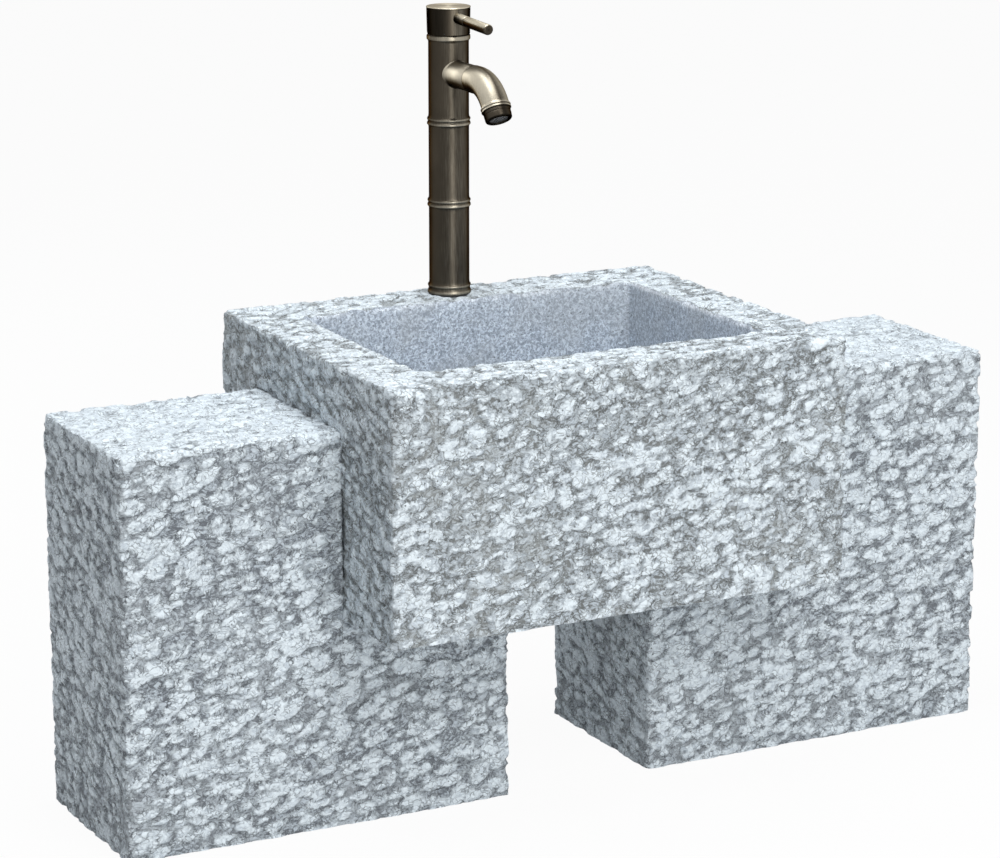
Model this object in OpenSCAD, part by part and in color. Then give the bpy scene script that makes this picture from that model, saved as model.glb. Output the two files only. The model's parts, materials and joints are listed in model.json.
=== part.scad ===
// Granite garden washbasin. A rough-hewn trough sits dry in the notches of two L-shaped
// pedestals. A single-lever tap shaped like a bamboo culm stands on its back ledge, and a
// push-open waste drains it. Millimetres. The origin is on the ground, under the middle of
// the whole piece: +X along its length, +Z up, and -Y is the side where a person stands.

/* [Basin stone] */
// Width of the basin, left to right
basin_w = 500; // [460:5:580]
// Depth of the basin, front to back
basin_d = 400; // [370:5:460]
// Height of the basin
basin_h = 250; // [230:5:300]
// Thickness of the left wall at the rim
left_wall = 60; // [45:1:80]
// Thickness of the right wall at the rim
right_wall = 62; // [45:1:80]
// Thickness of the front wall at the rim
front_wall = 62; // [45:1:80]
// Depth of the back ledge that carries the tap
ledge_d = 72; // [68:1:95]
// Depth of the pool below the rim
pool_depth = 170; // [140:5:180]
// Radius of the pool's upright corners
pool_corner_r = 5; // [3:0.5:15]
// Fall of the dished floor towards the waste
floor_fall = 4; // [2:0.5:8]
// Width of the dish in the pool floor
dish_w = 230; // [160:5:240]
// Ease cut on every outer arris of the stones
arris = 4; // [2:0.5:8]

/* [Pedestals] */
// Height of the pedestals' shoulders above the ground
pedestal_h = 398; // [330:2:440]
// Depth of both pedestals, front to back
pedestal_d = 200; // [160:5:240]
// How far the pedestals stand back from the basin's front
setback = 110; // [80:5:130]
// Height of the seats that carry the basin
seat_h = 210; // [160:5:240]
// Length from the left end to the basin
left_shoulder = 228; // [150:2:300]
// Length from the basin to the right end
right_shoulder = 240; // [150:2:300]
// Length of the left seat under the basin
left_seat = 180; // [120:5:195]
// Length of the right seat under the basin
right_seat = 160; // [120:5:195]
// Upright joint between the basin's ends and the shoulders
stone_gap = 2; // [1:0.5:6]

/* [Tap fixing] */
// Tap axis to the right of the basin's middle, negative for left
tap_shift = -5; // [-80:1:80]
// Tap axis in front of the basin's back face
tap_back = 32; // [29:1:36]
// Radius of the tap hole in the ledge
tap_hole_r = 17.5; // [15:0.5:19]
// Thickness of the stone that the tap clamps
tap_grip = 55; // [40:1:70]
// Radius of the service chase behind the ledge
chase_r = 26; // [25:0.5:27]
// Outer radius of the hollow threaded shank
shank_r = 14; // [13.5:0.25:14.5]
// Radius of the hose passage in the shank
hose_bore_r = 11; // [9:0.25:12]
// Thread left below the shank nut
shank_spare = 14; // [6:1:25]
// Thickness of the rubber ring under the tap
base_gasket_t = 1.5; // [1:0.25:3]
// Thickness of the rubber washer under the ledge
rubber_washer_t = 3; // [2:0.5:5]
// Thickness of the steel washer under the ledge
steel_washer_t = 2; // [1.5:0.5:4]
// Outer radius of both washers
washer_r = 23.5; // [21:0.5:24.5]
// Shank nut across its flats
shank_nut_af = 38; // [36:1:42]
// Height of the shank nut
shank_nut_h = 10; // [7:1:14]

/* [Tap column] */
// Outer radius of the culm
column_r = 21; // [20:0.25:23]
// Wall of the culm
column_wall = 2; // [1.5:0.1:2.4]
// Height of the lowest bamboo node above the ledge
first_node = 97; // [80:1:110]
// Distance from node to node
node_pitch = 85; // [75:1:100]
// Height of a node ring
node_h = 8; // [6:0.5:11]
// How far a node ring stands out from the culm
node_rise = 1.6; // [1:0.1:2.4]
// Height of the single ridge under the handle cap
head_ring_h = 5.5; // [4:0.5:8]

/* [Spout] */
// Spout axis below the top node
spout_drop = 35; // [32:1:52]
// Outer radius of the curved spout
spout_r = 14.4; // [13.4:0.2:16]
// Wall of the curved spout
spout_wall = 2; // [1.4:0.1:2.4]
// How much the straight socket is slimmer than the spout
socket_step = 0.5; // [0.2:0.1:1]
// Length of the straight socket, from the tap axis
socket_reach = 57; // [44:1:60]
// Start of the bend, from the tap axis
straight_reach = 66; // [63:1:85]
// Radius of the spout's bend
bend_r = 45; // [30:1:55]
// Angle that the spout turns down
bend_angle = 58; // [40:1:75]
// Length of the aerator that shows below the last node
nozzle_len = 10.5; // [8:0.5:14]
// Hole size of the aerator's outlet grid
grid_hole = 2.2; // [1.6:0.1:2.6]
// Bar between two holes of the outlet grid
grid_bar = 1; // [0.6:0.1:1.6]

/* [Handle] */
// Height of the handle cap
cap_h = 28.5; // [28:0.5:34]
// How much wider the cap is at its top than at its foot
cap_flare = 0.6; // [0:0.1:2]
// Gap between the cap's foot and the top node
foot_gap = 0.5; // [0.3:0.1:1.5]
// Height of the tilting axis above the cap's foot
pivot_rise = 12; // [11.5:0.5:13]
// Angle that the lever lifts
lift_angle = 20; // [10:1:20]
// Radius of the lever pin
lever_r = 5.5; // [4:0.25:5.75]
// Reach of the lever pin's tip from the tap axis
lever_reach = 90; // [70:1:120]
// Height of the lever pin's axis above the tilting axis, at the tap axis
lever_rise = 7; // [7:0.25:8]
// Angle that the closed lever points down
lever_droop = 3; // [0:0.5:3.5]

/* [Mixer] */
// Radius of the mixer cartridge
cartridge_r = 12.45; // [12.2:0.05:12.8]
// Radius of the cartridge's neck
neck_r = 10.5; // [9.8:0.1:10.8]
// Radius of the turning carrier
carrier_r = 8.5; // [8:0.1:8.8]
// Radius of the fixed ceramic disc
fixed_disc_r = 9.4; // [8.6:0.1:9.8]
// Radius of the sliding ceramic disc
moving_disc_r = 6.8; // [6:0.1:7.2]
// Thickness of the sliding ceramic disc
moving_disc_t = 5; // [4.5:0.1:6]
// Thickness of the fixed ceramic disc
fixed_disc_t = 3; // [2:0.1:4]
// Arm from the tilting axis down to the stem's ball
stem_arm = 8; // [7:0.1:8.5]
// Radius of the stem's ball
ball_r = 2; // [1.6:0.1:2.2]
// Width of the square stem along the tilting axis
stem_w = 6; // [5:0.1:6.5]
// Radius of the pin that the stem tilts on
stem_pin_r = 1.25; // [1:0.05:1.5]
// Radial clearance of turning and sliding parts
run_gap = 0.05; // [0.02:0.01:0.08]
// Radial clearance of threads, soldered and pressed joints
joint_gap = 0.05; // [0.02:0.01:0.1]

/* [Waste] */
// Radius of the waste flange
flange_r = 32; // [30:0.5:36]
// Thickness of the waste flange
flange_t = 3; // [2:0.25:4]
// Outer thread radius of the waste body
waste_r = 20.95; // [20:0.05:22]
// Bore radius of the waste body
waste_bore_r = 18; // [17.6:0.1:18.6]
// Length of the waste body below its flange top
waste_len = 70; // [62:1:75]
// Radius of the waste hole through the stone
waste_hole_r = 23; // [22.5:0.5:26]
// Radius of the nut recess under the basin
recess_r = 45; // [40:1:50]
// Height of the nut recess under the basin
recess_h = 40; // [36:1:50]
// Lock nut across its flats
lock_nut_af = 52; // [48:1:58]
// Height of the lock nut
lock_nut_h = 9; // [6:0.5:12]
// Thickness of the gasket under the flange
top_gasket_t = 1.5; // [1:0.25:3]
// Thickness of the gasket above the lock nut
bottom_gasket_t = 3; // [2:0.5:5]
// Outer radius of the tail pipe
tail_r = 16; // [15:0.25:16.5]
// Wall of the tail pipe
tail_wall = 1.5; // [1:0.1:2.5]
// Reach of the tail pipe below the basin
tail_drop = 45; // [30:1:55]
// Radius of the drain plug
plug_r = 29; // [27.5:0.5:30]
// Radius of the plug's stem
plug_stem_r = 3; // [2.5:0.1:3.5]
// Travel of the plug from closed to open
plug_lift = 9; // [6:0.5:12]

/* [Hidden] */

$fn = 64;
// Overshoot of a cut past the face that it opens
over = 1;

granite = [0.72, 0.74, 0.76];
basin_granite = [0.69, 0.71, 0.71];
antique_brass = [0.42, 0.35, 0.25];
bright_brass = [0.72, 0.6, 0.36];
steel = [0.62, 0.63, 0.65];
rubber_black = [0.09, 0.09, 0.09];
white_plastic = [0.88, 0.88, 0.85];
dark_plastic = [0.12, 0.12, 0.12];
ceramic_white = [0.94, 0.94, 0.92];

// Places of the stones
total_w = left_shoulder + basin_w + right_shoulder;
basin_x0 = left_shoulder - total_w / 2;
basin_x1 = basin_x0 + basin_w;
basin_y0 = -basin_d / 2;
basin_y1 = basin_d / 2;
basin_top = seat_h + basin_h;
pedestal_y0 = basin_y0 + setback;
pool_x0 = basin_x0 + left_wall;
pool_x1 = basin_x1 - right_wall;
pool_y0 = basin_y0 + front_wall;
pool_y1 = basin_y1 - ledge_d;
floor_z = basin_top - pool_depth;
waste_x = (pool_x0 + pool_x1) / 2;
waste_y = (pool_y0 + pool_y1) / 2;

// Heights in the tap, measured from the ledge
tap_x = (basin_x0 + basin_x1) / 2 + tap_shift;
tap_y = basin_y1 - tap_back;
column_bore_r = column_r - column_wall;
head_z = first_node + 2 * node_pitch;
column_top = head_z + node_h / 2;
cap_z = column_top + foot_gap;
pivot_z = cap_z + pivot_rise;
spout_z = head_z - spout_drop;
foot_r = column_r + node_rise;
nut_top = -tap_grip - rubber_washer_t - steel_washer_t;
shank_end = nut_top - shank_nut_h - shank_spare;
shank_plug_h = 12;

// Spout
socket_r = spout_r - socket_step;
spout_bore_r = spout_r - spout_wall;
spigot_len = 6;
spigot_wall = 1.5;
spout_node_h = 5;
aerator_r = spout_r - 0.3;
aerator_bore_r = spout_bore_r - 1.4;
aerator_lip = 1.2;
aerator_lip_h = 1.5;
aerator_spigot = 4.8;
end_bore_r = spout_bore_r + 0.3;
aerator_seal_t = 2;
insert_h = 8;
// The grid's holes stay this far inside the insert's edge
grid_rim = 2;

// Cartridge heights, measured from the tilting axis
disc_top = -(stem_arm - 1.2);
fixed_disc_top = disc_top - moving_disc_t;
base_top = fixed_disc_top - fixed_disc_t;
cartridge_base_t = 7;
port_gasket_t = 1;
pocket_floor = base_top - cartridge_base_t - port_gasket_t;
shoulder_z = -5.5;
neck_top = 3.5;
neck_lip = 0.9;
neck_lip_r = carrier_r - 1.1;
carrier_top = neck_top - neck_lip - 0.1;
core_r = column_bore_r - joint_gap;
core_top = pocket_floor + 3.3;
collar_top = core_top + 8;
collar_r = cartridge_r + joint_gap + 1.5;
bonnet_r = collar_r + joint_gap + 1.2;
bonnet_top = shoulder_z + 3;
core_below_spout = 20;

// Water ways, as [x, y] from the tap axis
inlets = [[-5.5, 3.5], [5.5, 3.5]];
outlet = [0, -4.8];
inlet_r = 2;
outlet_r = 2.3;
hose_port_r = 4.3;
hose_port_depth = 14;
hose_port_spread = 1.45;
spout_way_r = 6;

// Stem and handle, measured from the tilting axis
stem_lean = lift_angle / 2;
stem_t = 5.6;
stem_hub_r = 3.6;
stem_top = 14;
stem_arm_r = 1.6;
socket_gap = 0.1;
disc_offset = stem_arm * sin(stem_lean);
cap_foot_r = column_r + 1.2;
cap_top_r = cap_foot_r + cap_flare;
cap_top = cap_h - pivot_rise;
cap_foot = -pivot_rise;
// The cap's hollow clears the bonnet nut and the neck over the whole lift
hollow_r = cap_foot_r - 2.4;
hollow_mid_r = bonnet_r + 1.2;
hollow_mid = bonnet_r * sin(lift_angle) + bonnet_top * cos(lift_angle) + 0.35;
hollow_top_r = neck_r + 2;
hollow_top = neck_top + 4.5;
stud_r = 2.5;
stud_len = 7.4;
lever_seat = cap_foot_r - 0.7;
grub_r = 2;
grub_z = 11.3;
grub_len = 10;
index_r = 3;
index_t = 2;

// Waste heights, from the ground
flange_top = floor_z - floor_fall;
rebate_z = flange_top - flange_t - top_gasket_t;
recess_top = seat_h + recess_h;
waste_end = flange_top - waste_len;
hub_top = flange_top - 24;
hub_h = 6;
hub_r = 6.5;
arm_t = 2.6;
latch_r = 4.4;
latch_head_r = 7;
latch_top = flange_top - 8;
latch_spare = 3;
tail_screw = 14;
tail_end = seat_h - tail_drop;
seal_t = 2;
seal_r = plug_r - 2;
mouth_r = waste_bore_r + 4;
plug_edge = 2;
plug_crown = 3;
plug_boss_r = 6.5;
plug_boss_h = 5;
stem_grip = 4;
stem_guide = 18;

// Rectangle from the origin with its corners cut at 45 degrees
module eased_rect(a, b, c)
    polygon([[c, 0], [a - c, 0], [a, c], [a, b - c], [a - c, b], [c, b], [0, b - c], [0, c]]);

// Keeps the part of its children inside a block whose upright and end arrises are eased
module eased_ends(w, d, h, c) intersection() {
    children();
    linear_extrude(h) eased_rect(w, d, c);
    rotate([90, 0, 90]) linear_extrude(w) eased_rect(d, h, c);
}

// Sweeps an outline in the XZ plane along +Y
module along_y(d) translate([0, d, 0]) rotate([90, 0, 0]) linear_extrude(d) children();

// L-shaped pedestal: a full-height shoulder at its left end, then the seat
module l_block(shoulder, seat) {
    w = shoulder + seat;
    c = arris;
    eased_ends(w, pedestal_d, pedestal_h, c) along_y(pedestal_d)
        polygon([[c, 0], [w - c, 0], [w, c], [w, seat_h - c], [w - c, seat_h],
            [shoulder, seat_h], [shoulder, pedestal_h - c], [shoulder - c, pedestal_h],
            [c, pedestal_h], [0, pedestal_h - c], [0, c]]);
}

module left_pedestal() color(granite) translate([-total_w / 2, pedestal_y0, 0])
    l_block(left_shoulder - stone_gap, left_seat + stone_gap);

module right_pedestal() color(granite) translate([total_w / 2, pedestal_y0, 0]) mirror([1, 0, 0])
    l_block(right_shoulder - stone_gap, right_seat + stone_gap);

// Rectangle between two corners with round corners
module round_rect(x0, y0, x1, y1, r) {
    translate([x0 + r, y0]) square([x1 - x0 - 2 * r, y1 - y0]);
    translate([x0, y0 + r]) square([x1 - x0, y1 - y0 - 2 * r]);
    for (x = [x0 + r, x1 - r], y = [y0 + r, y1 - r]) translate([x, y]) circle(r);
}

module pool_cut() {
    translate([0, 0, floor_z]) linear_extrude(pool_depth + over)
        round_rect(pool_x0, pool_y0, pool_x1, pool_y1, pool_corner_r);
    // The dish falls to the rim of the waste flange
    translate([waste_x, waste_y, flange_top])
        cylinder(h = floor_fall + 0.01, r1 = flange_r + over, r2 = dish_w / 2);
}

module waste_cut() translate([waste_x, waste_y, 0]) {
    translate([0, 0, rebate_z]) cylinder(h = flange_top - rebate_z + 0.02, r = flange_r + over);
    translate([0, 0, seat_h - over]) cylinder(h = rebate_z - seat_h + 2 * over, r = waste_hole_r);
    translate([0, 0, seat_h - over]) cylinder(h = recess_h + over, r = recess_r);
}

// Upright channel in the back face, where the shank nut and the hoses are reached
module chase_cut() translate([tap_x, tap_y, seat_h - over]) {
    h = basin_top - tap_grip - seat_h + over;
    cylinder(h = h, r = chase_r);
    translate([-chase_r, 0, 0]) cube([2 * chase_r, tap_back + over, h]);
}

module basin() color(basin_granite) difference() {
    translate([basin_x0, basin_y0, seat_h]) eased_ends(basin_w, basin_d, basin_h, arris)
        along_y(basin_d) eased_rect(basin_w, basin_h, arris);
    pool_cut();
    waste_cut();
    chase_cut();
    translate([tap_x, tap_y, basin_top - tap_grip - over])
        cylinder(h = tap_grip + 2 * over, r = tap_hole_r);
}

// Frames of the tap: its ledge, its tilting axis, and a station along the spout
module at_ledge() translate([tap_x, tap_y, basin_top]) children();
module at_pivot() at_ledge() translate([0, 0, pivot_z]) children();
module at_spout() at_ledge() translate([0, 0, spout_z]) children();
module at_spout_end() at_spout()
    translate([0, -straight_reach - bend_r * sin(bend_angle), -bend_r * (1 - cos(bend_angle))])
        rotate([90 + bend_angle, 0, 0]) children();

// Tube from z0 to z1
module tube(z0, z1, r_out, r_in) translate([0, 0, z0]) difference() {
    cylinder(h = z1 - z0, r = r_out);
    translate([0, 0, -over]) cylinder(h = z1 - z0 + 2 * over, r = r_in);
}

// Hexagon nut from z0 to z1 with chamfered top and bottom corners
module hex_nut(z0, z1, across_flats, r_in) {
    corner_r = across_flats / 2 / cos(30);
    bevel = (corner_r - across_flats / 2) * 0.6;
    translate([0, 0, z0]) difference() {
        intersection() {
            cylinder(h = z1 - z0, r = corner_r, $fn = 6);
            rotate_extrude() polygon([[0, 0], [corner_r - bevel, 0], [corner_r, bevel],
                [corner_r, z1 - z0 - bevel], [corner_r - bevel, z1 - z0], [0, z1 - z0]]);
        }
        translate([0, 0, -over]) cylinder(h = z1 - z0 + 2 * over, r = r_in);
    }
}

// Bamboo node ring: two ridges with a groove between them, flared into the culm.
// Each pair is [share of the rise, share of half the height].
ring_form = [[0, -1.5], [0.25, -1.05], [0.92, -0.9], [1, -0.55], [0.62, -0.22], [0.5, 0],
    [0.62, 0.2], [0.9, 0.42], [0.86, 0.72], [0.25, 0.95], [0, 1.5]];
function node_ring(r, z, h, rise) = [for (k = ring_form) [r + k[0] * rise, z + k[1] * h / 2]];
// The foot is the end of a culm, cut through a ring, and the head is one slim ridge
function foot_ring(r, z, h, rise) = concat([[r + rise, z], [r + rise, z + 0.35 * h]],
    [for (k = ring_form) if (k[1] > -0.3) [r + k[0] * rise, z + h * (0.85 + k[1]) / 1.6]]);
head_form = [[0, 1.3], [0.25, 1], [0.95, 0.85], [1, 0.6], [1, 0.25], [0.7, 0]];
function head_ring(r, top, h, rise) = [for (k = head_form) [r + k[0] * rise, top - k[1] * h]];

function column_outline() = concat(
    [[column_bore_r, base_gasket_t]],
    foot_ring(column_r, base_gasket_t, node_h, node_rise),
    node_ring(column_r, first_node, node_h, node_rise),
    node_ring(column_r, first_node + node_pitch, node_h, node_rise),
    head_ring(column_r, column_top, head_ring_h, node_rise),
    [[column_bore_r, column_top]]);

module tap_column() color(antique_brass) at_ledge() difference() {
    rotate_extrude() polygon(column_outline());
    translate([0, 0, spout_z]) rotate([90, 0, 0]) cylinder(h = column_r + over, r = spout_way_r + 1);
}

module base_gasket() color(rubber_black) at_ledge() tube(0, base_gasket_t, foot_r - 0.6, shank_r + 1);

// The shank's head is soldered into the foot of the culm
module threaded_shank() color(bright_brass) at_ledge() difference() {
    rotate_extrude() polygon([[0, shank_end], [shank_r - 1, shank_end], [shank_r, shank_end + 1],
        [shank_r, base_gasket_t], [core_r, base_gasket_t],
        [core_r, base_gasket_t + shank_plug_h], [0, base_gasket_t + shank_plug_h]]);
    translate([0, 0, shank_end - over])
        cylinder(h = base_gasket_t + shank_plug_h - shank_end + 2 * over, r = hose_bore_r);
}

module shank_rubber_washer() color(rubber_black) at_ledge()
    tube(-tap_grip - rubber_washer_t, -tap_grip, washer_r, shank_r + 0.3);

module shank_steel_washer() color(steel) at_ledge()
    tube(nut_top, nut_top + steel_washer_t, washer_r, shank_r + 0.3);

module shank_nut() color(bright_brass) at_ledge()
    hex_nut(nut_top - shank_nut_h, nut_top, shank_nut_af, shank_r + joint_gap);

// Straight socket, saddled onto the culm, with a spigot that the curved spout slides over
module spout_socket() color(antique_brass) at_spout() difference() {
    rotate([90, 0, 0]) {
        cylinder(h = socket_reach, r = socket_r);
        cylinder(h = socket_reach + spigot_len, r = spout_bore_r - joint_gap);
    }
    rotate([90, 0, 0])
        cylinder(h = socket_reach + spigot_len + over, r = spout_bore_r - joint_gap - spigot_wall);
    translate([0, 0, -socket_reach]) cylinder(h = 2 * socket_reach, r = column_r);
}

// The curved spout: a drawn tube, straight and then bent in an arc, that ends in its own node ring
module spout_elbow() color(antique_brass) {
    at_spout() {
        rotate([90, 0, 0]) tube(socket_reach, straight_reach, spout_r, spout_bore_r);
        translate([0, -straight_reach, -bend_r]) rotate([0, -90, 180])
            rotate_extrude(angle = bend_angle) translate([bend_r, 0]) difference() {
                circle(spout_r);
                circle(spout_bore_r);
            }
    }
    // The ring's first edge laps over the bend, and its bore is opened out for the aerator
    at_spout_end() rotate_extrude() polygon(concat([[end_bore_r, 0], [spout_r - 0.6, 0],
            [spout_r - 0.6, -0.5], [spout_r + 0.1, -0.5]],
        [for (k = ring_form) if (abs(k[1]) < 1)
            [spout_r + 0.75 * k[0] * node_rise, (1 + k[1]) * spout_node_h / 2]],
        [[spout_r, spout_node_h], [end_bore_r, spout_node_h]]));
}

// Screwed into the spout's end, measured along the spout from the node ring's start
module aerator_housing() color(antique_brass) at_spout_end() rotate_extrude() {
    z0 = spout_node_h - aerator_spigot;
    z1 = spout_node_h + nozzle_len;
    polygon([[aerator_bore_r, z0], [end_bore_r - joint_gap, z0], [end_bore_r - joint_gap, spout_node_h],
        [aerator_r, spout_node_h], [aerator_r - 0.3, z1 - 1], [aerator_r - 1.2, z1],
        [aerator_bore_r - aerator_lip, z1], [aerator_bore_r - aerator_lip, z1 - aerator_lip_h],
        [aerator_bore_r, z1 - aerator_lip_h]]);
}

insert_z1 = spout_node_h + nozzle_len - aerator_lip_h;

module aerator_seal() color(rubber_black) at_spout_end() {
    seal_z1 = insert_z1 - insert_h;
    tube(seal_z1 - aerator_seal_t, seal_z1, aerator_bore_r - 0.1, aerator_bore_r - 3.5);
}

// Outlet grid of square holes, kept inside a round field
module aerator_insert() color(dark_plastic) at_spout_end() difference() {
    insert_r = aerator_bore_r - joint_gap;
    pitch = grid_hole + grid_bar;
    field = insert_r - grid_rim;
    count = floor((field - grid_hole / 2) / pitch);
    translate([0, 0, insert_z1 - insert_h]) cylinder(h = insert_h, r = insert_r);
    for (i = [-count:count], j = [-count:count])
        if (norm([abs(i) * pitch + grid_hole / 2, abs(j) * pitch + grid_hole / 2]) < field)
            translate([i * pitch - grid_hole / 2, j * pitch - grid_hole / 2, insert_z1 - insert_h - over])
                cube([grid_hole, grid_hole, insert_h + 2 * over]);
}

// Upright holes for the two inlets and the outlet
module water_ways(z0, z1) {
    for (p = inlets) translate([p[0], p[1], z0]) cylinder(h = z1 - z0, r = inlet_r);
    translate([outlet[0], outlet[1], z0]) cylinder(h = z1 - z0, r = outlet_r);
}

// Brass core in the head of the culm: two hose ports below, the cartridge pocket above
module mixer_core() color(bright_brass) at_pivot() difference() {
    core_z0 = spout_z - pivot_z - core_below_spout;
    way_z = spout_z - pivot_z;
    union() {
        translate([0, 0, core_z0]) cylinder(h = core_top - core_z0, r = core_r);
        translate([0, 0, core_top - over]) cylinder(h = collar_top - core_top + over, r = collar_r);
    }
    translate([0, 0, pocket_floor])
        cylinder(h = collar_top - pocket_floor + over, r = cartridge_r + joint_gap);
    for (p = inlets) {
        translate([p[0], p[1], core_z0 + over]) cylinder(h = pocket_floor - core_z0, r = inlet_r);
        translate([hose_port_spread * p[0], p[1], core_z0 - over])
            cylinder(h = hose_port_depth + over, r = hose_port_r);
    }
    translate([outlet[0], outlet[1], way_z]) cylinder(h = pocket_floor - way_z + over, r = outlet_r);
    translate([0, 0, way_z]) rotate([90, 0, 0]) cylinder(h = column_r, r = spout_way_r);
}

module port_gasket() color(rubber_black) at_pivot() difference() {
    translate([0, 0, pocket_floor]) cylinder(h = port_gasket_t, r = cartridge_r - 0.2);
    water_ways(pocket_floor - over, base_top);
}

module cartridge_base() color(white_plastic) at_pivot() difference() {
    translate([0, 0, pocket_floor + port_gasket_t]) cylinder(h = cartridge_base_t, r = cartridge_r);
    water_ways(pocket_floor, base_top + over);
}

module cartridge_body() color(white_plastic) at_pivot() difference() {
    rotate_extrude() polygon([[0, base_top], [cartridge_r, base_top], [cartridge_r, shoulder_z],
        [neck_r, shoulder_z], [neck_r, neck_top - 0.6], [neck_r - 0.6, neck_top], [0, neck_top]]);
    // Disc chamber, the carrier's bearing, and the lip that keeps the carrier in
    translate([0, 0, base_top - over])
        cylinder(h = disc_top - base_top + over + 0.2, r = fixed_disc_r + 0.2);
    translate([0, 0, disc_top]) cylinder(h = carrier_top + 0.1 - disc_top, r = carrier_r + run_gap);
    cylinder(h = neck_top + over, r = neck_lip_r);
}

module fixed_disc() color(ceramic_white) at_pivot() difference() {
    translate([0, 0, base_top]) cylinder(h = fixed_disc_t, r = fixed_disc_r);
    water_ways(base_top - over, fixed_disc_top + over);
}

module bonnet_nut() color(bright_brass) at_pivot() difference() {
    skirt_z = core_top + 0.5;
    step_z = collar_top + 0.2;
    rotate_extrude() polygon([[collar_r + joint_gap, skirt_z], [bonnet_r, skirt_z], [bonnet_r, bonnet_top],
        [neck_r + 0.2, bonnet_top], [neck_r + 0.2, shoulder_z], [cartridge_r + 0.2, shoulder_z],
        [cartridge_r + 0.2, step_z], [collar_r + joint_gap, step_z]]);
    // Slots for a pin spanner
    for (a = [30:60:330]) rotate(a) translate([neck_r + 2.2, -1.2, bonnet_top - 1.5])
        cube([bonnet_r, 2.4, 1.5 + over]);
}

// The carrier turns in the cartridge and holds the pin that the stem tilts on
module carrier() color(white_plastic) at_pivot() difference() {
    translate([0, 0, disc_top]) cylinder(h = carrier_top - disc_top, r = carrier_r);
    translate([-stem_w / 2 - 0.1, -carrier_r + 2, disc_top - over])
        cube([stem_w + 0.2, 2 * carrier_r - 4, carrier_top - disc_top + 2 * over]);
    rotate([0, 90, 0]) cylinder(h = 2 * carrier_r + over, r = stem_pin_r + 0.02, center = true);
}

module stem_pin() color(steel) at_pivot() rotate([0, 90, 0])
    cylinder(h = 2 * carrier_r - 0.8, r = stem_pin_r, center = true);

module moving_disc() color(ceramic_white) at_pivot() translate([0, disc_offset, 0]) difference() {
    translate([0, 0, fixed_disc_top]) cylinder(h = moving_disc_t, r = moving_disc_r);
    translate([0, 0, -stem_arm - ball_r - 0.4]) cylinder(h = stem_arm, r = ball_r + 0.1);
    // Mixing hollow on the underside
    translate([0, -0.8, fixed_disc_top - over]) cylinder(h = over + 0.8, r = moving_disc_r - 2.2);
}

// The stem leans forward by half the lift when closed, and as far back when open
module stem_bar(gap) translate([-stem_w / 2 - gap, -stem_t / 2 - gap, 0])
    cube([stem_w + 2 * gap, stem_t + 2 * gap, stem_top + gap]);

module stem() color(steel) at_pivot() rotate([stem_lean, 0, 0]) difference() {
    union() {
        stem_bar(0);
        rotate([0, 90, 0]) cylinder(h = stem_w, r = stem_hub_r, center = true);
        translate([0, 0, -stem_arm]) cylinder(h = stem_arm, r = stem_arm_r);
        translate([0, 0, -stem_arm]) sphere(ball_r);
    }
    rotate([0, 90, 0]) cylinder(h = stem_w + 2 * over, r = stem_pin_r + run_gap, center = true);
}

// Cap with its back foot bevelled, so that it can tilt back over the top node
module handle_cap() color(antique_brass) at_pivot() difference() {
    rotate_extrude() polygon([[hollow_r, cap_foot], [cap_foot_r, cap_foot], [cap_top_r, cap_top - 1.2],
        [cap_top_r + 0.2, cap_top - 0.9], [cap_top_r + 0.2, cap_top - 0.3],
        [cap_top_r - 0.2, cap_top], [0, cap_top], [0, hollow_top], [hollow_top_r, hollow_top],
        [hollow_top_r, hollow_mid], [hollow_mid_r, hollow_mid], [hollow_r, -2]]);
    relief_start = pivot_rise * tan(lift_angle / 2);
    relief_len = 2 * cap_top_r;
    translate([-relief_len / 2, relief_start, cap_foot]) rotate([90, 0, 90]) linear_extrude(relief_len)
        polygon([[0, 0], [relief_len, relief_len * tan(lift_angle)], [relief_len, -over], [0, -over]]);
    rotate([stem_lean, 0, 0]) stem_bar(socket_gap);
    at_lever() {
        translate([0, 0, lever_seat]) cylinder(h = cap_top_r, r = lever_r + joint_gap);
        translate([0, 0, lever_seat - stud_len - 0.1])
            cylinder(h = stud_len + over, r = stud_r + joint_gap);
    }
    translate([0, 0, grub_z]) rotate([-90, 0, 0]) {
        cylinder(h = 2 * cap_top_r, r = grub_r + joint_gap);
        translate([0, 0, cap_foot_r - index_t]) cylinder(h = cap_top_r, r = index_r + joint_gap);
    }
}

// Along the lever, from the tap axis to its tip
module at_lever() translate([0, 0, lever_rise]) rotate([90 + lever_droop, 0, 0]) children();

module lever_pin() color(antique_brass) at_pivot() at_lever()
    rotate_extrude() {
        seam = lever_seat + 0.3 * (lever_reach - lever_seat);
        polygon([[0, lever_seat - stud_len], [stud_r, lever_seat - stud_len], [stud_r, lever_seat],
            [lever_r, lever_seat], [lever_r, seam - 0.4], [lever_r - 0.4, seam], [lever_r, seam + 0.4],
            [lever_r, lever_reach - 1.2], [lever_r - 0.35, lever_reach - 0.35],
            [lever_r - 1.2, lever_reach], [0, lever_reach]]);
    }

// Clamps the cap on the stem's back face
module grub_screw() color(steel) at_pivot() translate([0, 0, grub_z]) rotate([-90, 0, 0]) difference() {
    start = stem_t / 2 / cos(stem_lean) - grub_z * tan(stem_lean) + (grub_r + 0.3) * tan(stem_lean);
    translate([0, 0, start]) cylinder(h = grub_len, r = grub_r);
    translate([0, 0, start + grub_len - 2]) cylinder(h = 2 + over, r = 1.1, $fn = 6);
}

module index_plug() color(rubber_black) at_pivot() intersection() {
    translate([0, cap_foot_r - index_t, grub_z]) rotate([-90, 0, 0]) cylinder(h = cap_top_r, r = index_r);
    cylinder(h = 2 * cap_top, r = cap_foot_r + 0.3);
}

module at_waste() translate([waste_x, waste_y, 0]) children();

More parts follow.
